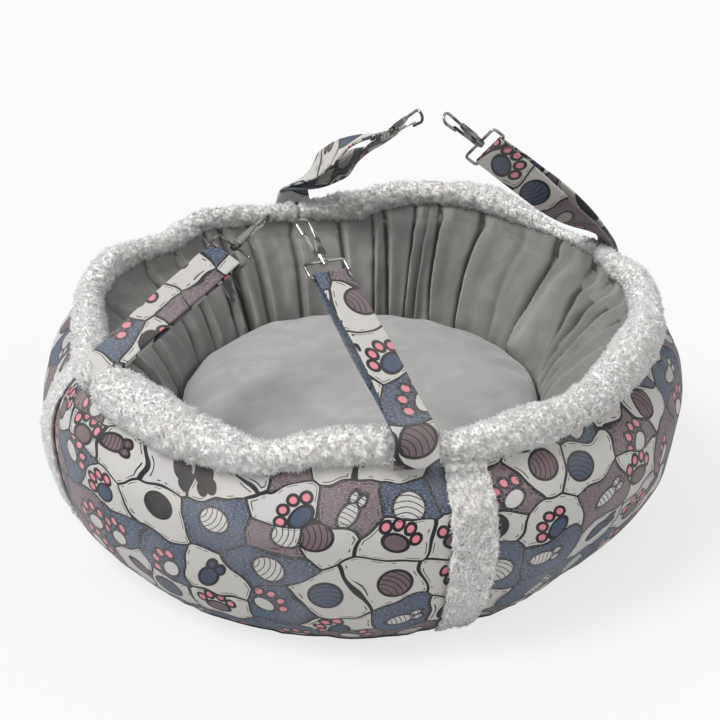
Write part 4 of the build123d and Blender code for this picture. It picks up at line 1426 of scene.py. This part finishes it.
class CATBED_OT_rim(Operator):
    """Plush roll along the top of the wall, in four lengths"""

    bl_idname = "cat_bed.rim"
    bl_label = "Plush Roll"

    def execute(self, context):
        plush = context.scene.cat_bed_plush
        tree = pile_tree(plush, 1.0)
        for start_name, end_name, start, end in ROLL_LENGTHS:
            mesh = roll_mesh(start_name, end_name, start, end)
            raise_pile(mesh, plush)
            ends = f"{start_name}_to_{end_name}"
            nodes = (f"rim_roll_{ends}", f"rim_filling_{ends}")
            piece = new_piece(mesh, finish_material("rim_pile"), "root", nodes)
            grow_pile(piece, f"rim_pile_{ends}", tree, finish_material("rim_pile"))
            soften_shading(mesh, CLOTH_SOFTNESS)
        return {"FINISHED"}


class CATBED_OT_lining(Operator):
    """Gathered lining of the hollow and its floor"""

    bl_idname = "cat_bed.lining"
    bl_label = "Lining"

    def execute(self, context):
        mesh = lining_mesh(context.scene.cat_bed_lining)
        nodes = ("inner_lining", "floor_lining", "base_padding")
        piece = new_piece(mesh, finish_material("brushed_cloth"), "root", nodes)
        return {"FINISHED"}


class CATBED_OT_cushion(Operator):
    """Loose crowned cushion"""

    bl_idname = "cat_bed.cushion"
    bl_label = "Cushion"

    def execute(self, context):
        cushion = context.scene.cat_bed_cushion
        mesh = even_mesh(cushion_mesh(), CUSHION_MESH_STEP)
        mesh = swollen(mesh, cushion.pressure, cushion.swell_limit)
        points = mesh_points(mesh)
        dimples = DIMPLE_DEPTH * waves(points, DIMPLE_SIZE, 7.0) + RUMPLE_DEPTH * waves(points, RUMPLE_SIZE, 19.0)
        points[:, 2] += smooth_step(points[:, 2], *CUSHION_DIMPLED) * dimples
        points[:, 2] = np.maximum(points[:, 2], CUSHION_BOTTOM)
        move_points(mesh, points)
        mesh.name = "cushion_pad"
        mesh.shade_smooth()
        nodes = ("cushion_cover", "cushion_filling")
        piece = new_piece(mesh, finish_material("velvet_cloth"), "cushion", nodes)
        fine = piece.modifiers.new("Smooth Cloth", "SUBSURF")
        fine.levels = fine.render_levels = 1
        return {"FINISHED"}


class CATBED_OT_base(Operator):
    """Dark cloth under the bed"""

    bl_idname = "cat_bed.base"
    bl_label = "Base Cloth"

    def execute(self, context):
        wall = context.scene.cat_bed_wall

        def edge(angle):
            return np.hypot(*wall_surface(angle, np.zeros(len(angle)), wall).T[:2]) - BASE_INSET

        def place(run, rise):
            angle = FULL_TURN * run
            return round_points(edge(angle) * rise, angle, np.full(len(run), BASE_HEIGHT))

        size = (2 * math.pi * BASE_RADIUS, BASE_RADIUS)
        mesh = wrapped_grid("base_cloth_under", BASE_COLUMNS, BASE_ROWS, place, size, closed=True)
        piece = new_piece(mesh, finish_material("non_slip_cloth"), "root", ("base_cloth",))
        thicken(piece, BASE_THICKNESS)
        radius = float(np.mean(edge(np.linspace(0.0, FULL_TURN, 90))))
        return {"FINISHED"}


class CATBED_OT_straps(Operator):
    """Four doubled cloth straps"""

    bl_idname = "cat_bed.straps"
    bl_label = "Straps"

    def execute(self, context):
        straps = context.scene.cat_bed_straps
        for name in STRAPS:
            mesh = strap_mesh(name, straps)
            nodes = (f"strap_{name}", f"strap_anchor_{name}")
            piece = new_piece(mesh, finish_material("printed_cloth"), None, nodes)
            thicken(piece, straps.cloth, offset=0.0)
            fine = piece.modifiers.new("Soft Edges", "SUBSURF")
            fine.levels = fine.render_levels = 1
            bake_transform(piece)
        return {"FINISHED"}


class CATBED_OT_metal(Operator):
    """Nickel finish of the wire rings and snap hooks"""

    bl_idname = "cat_bed.metal"
    bl_label = "Rings and Hooks"

    def execute(self, context):
        nickel = finish_material("nickel_plating")
        for kind in ("wire_ring", "swivel_rivet", "hook_body", "gate_leaf"):
            for name in STRAPS:
                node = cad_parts[f"{kind}_{name}"]
                node.data.materials.clear()
                node.data.materials.append(nickel)
        return {"FINISHED"}


OPERATORS = (
    CATBED_OT_stage, CATBED_OT_wall_covers, CATBED_OT_bands, CATBED_OT_rim, CATBED_OT_lining,
    CATBED_OT_cushion, CATBED_OT_base, CATBED_OT_straps, CATBED_OT_metal,
)


class CATBED_PT_sidebar(Panel):
    """Lists the bed's pieces in the sidebar"""

    bl_idname = "CATBED_PT_sidebar"
    bl_label = "Cat Bed"
    bl_space_type = "VIEW_3D"
    bl_region_type = "UI"
    bl_category = "Cat Bed"

    def draw(self, context):
        for operator in OPERATORS:
            self.layout.operator(operator.bl_idname)


def register():
    for settings in SETTINGS.values():
        bpy.utils.register_class(settings)
    for name, settings in SETTINGS.items():
        setattr(bpy.types.Scene, name, PointerProperty(type=settings))
    for operator in OPERATORS:
        bpy.utils.register_class(operator)
    bpy.utils.register_class(CATBED_PT_sidebar)


def unregister():
    bpy.utils.unregister_class(CATBED_PT_sidebar)
    for operator in reversed(OPERATORS):
        bpy.utils.unregister_class(operator)
    for name, settings in SETTINGS.items():
        delattr(bpy.types.Scene, name)
        bpy.utils.unregister_class(settings)


def main():
    """Registers the add-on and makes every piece."""
    register()
    bpy.ops.cat_bed.stage()
    bpy.ops.cat_bed.wall_covers()
    bpy.ops.cat_bed.bands()
    bpy.ops.cat_bed.rim()
    bpy.ops.cat_bed.lining()
    bpy.ops.cat_bed.cushion()
    bpy.ops.cat_bed.base()
    bpy.ops.cat_bed.straps()
    bpy.ops.cat_bed.metal()


if __name__ == "__main__":
    main()
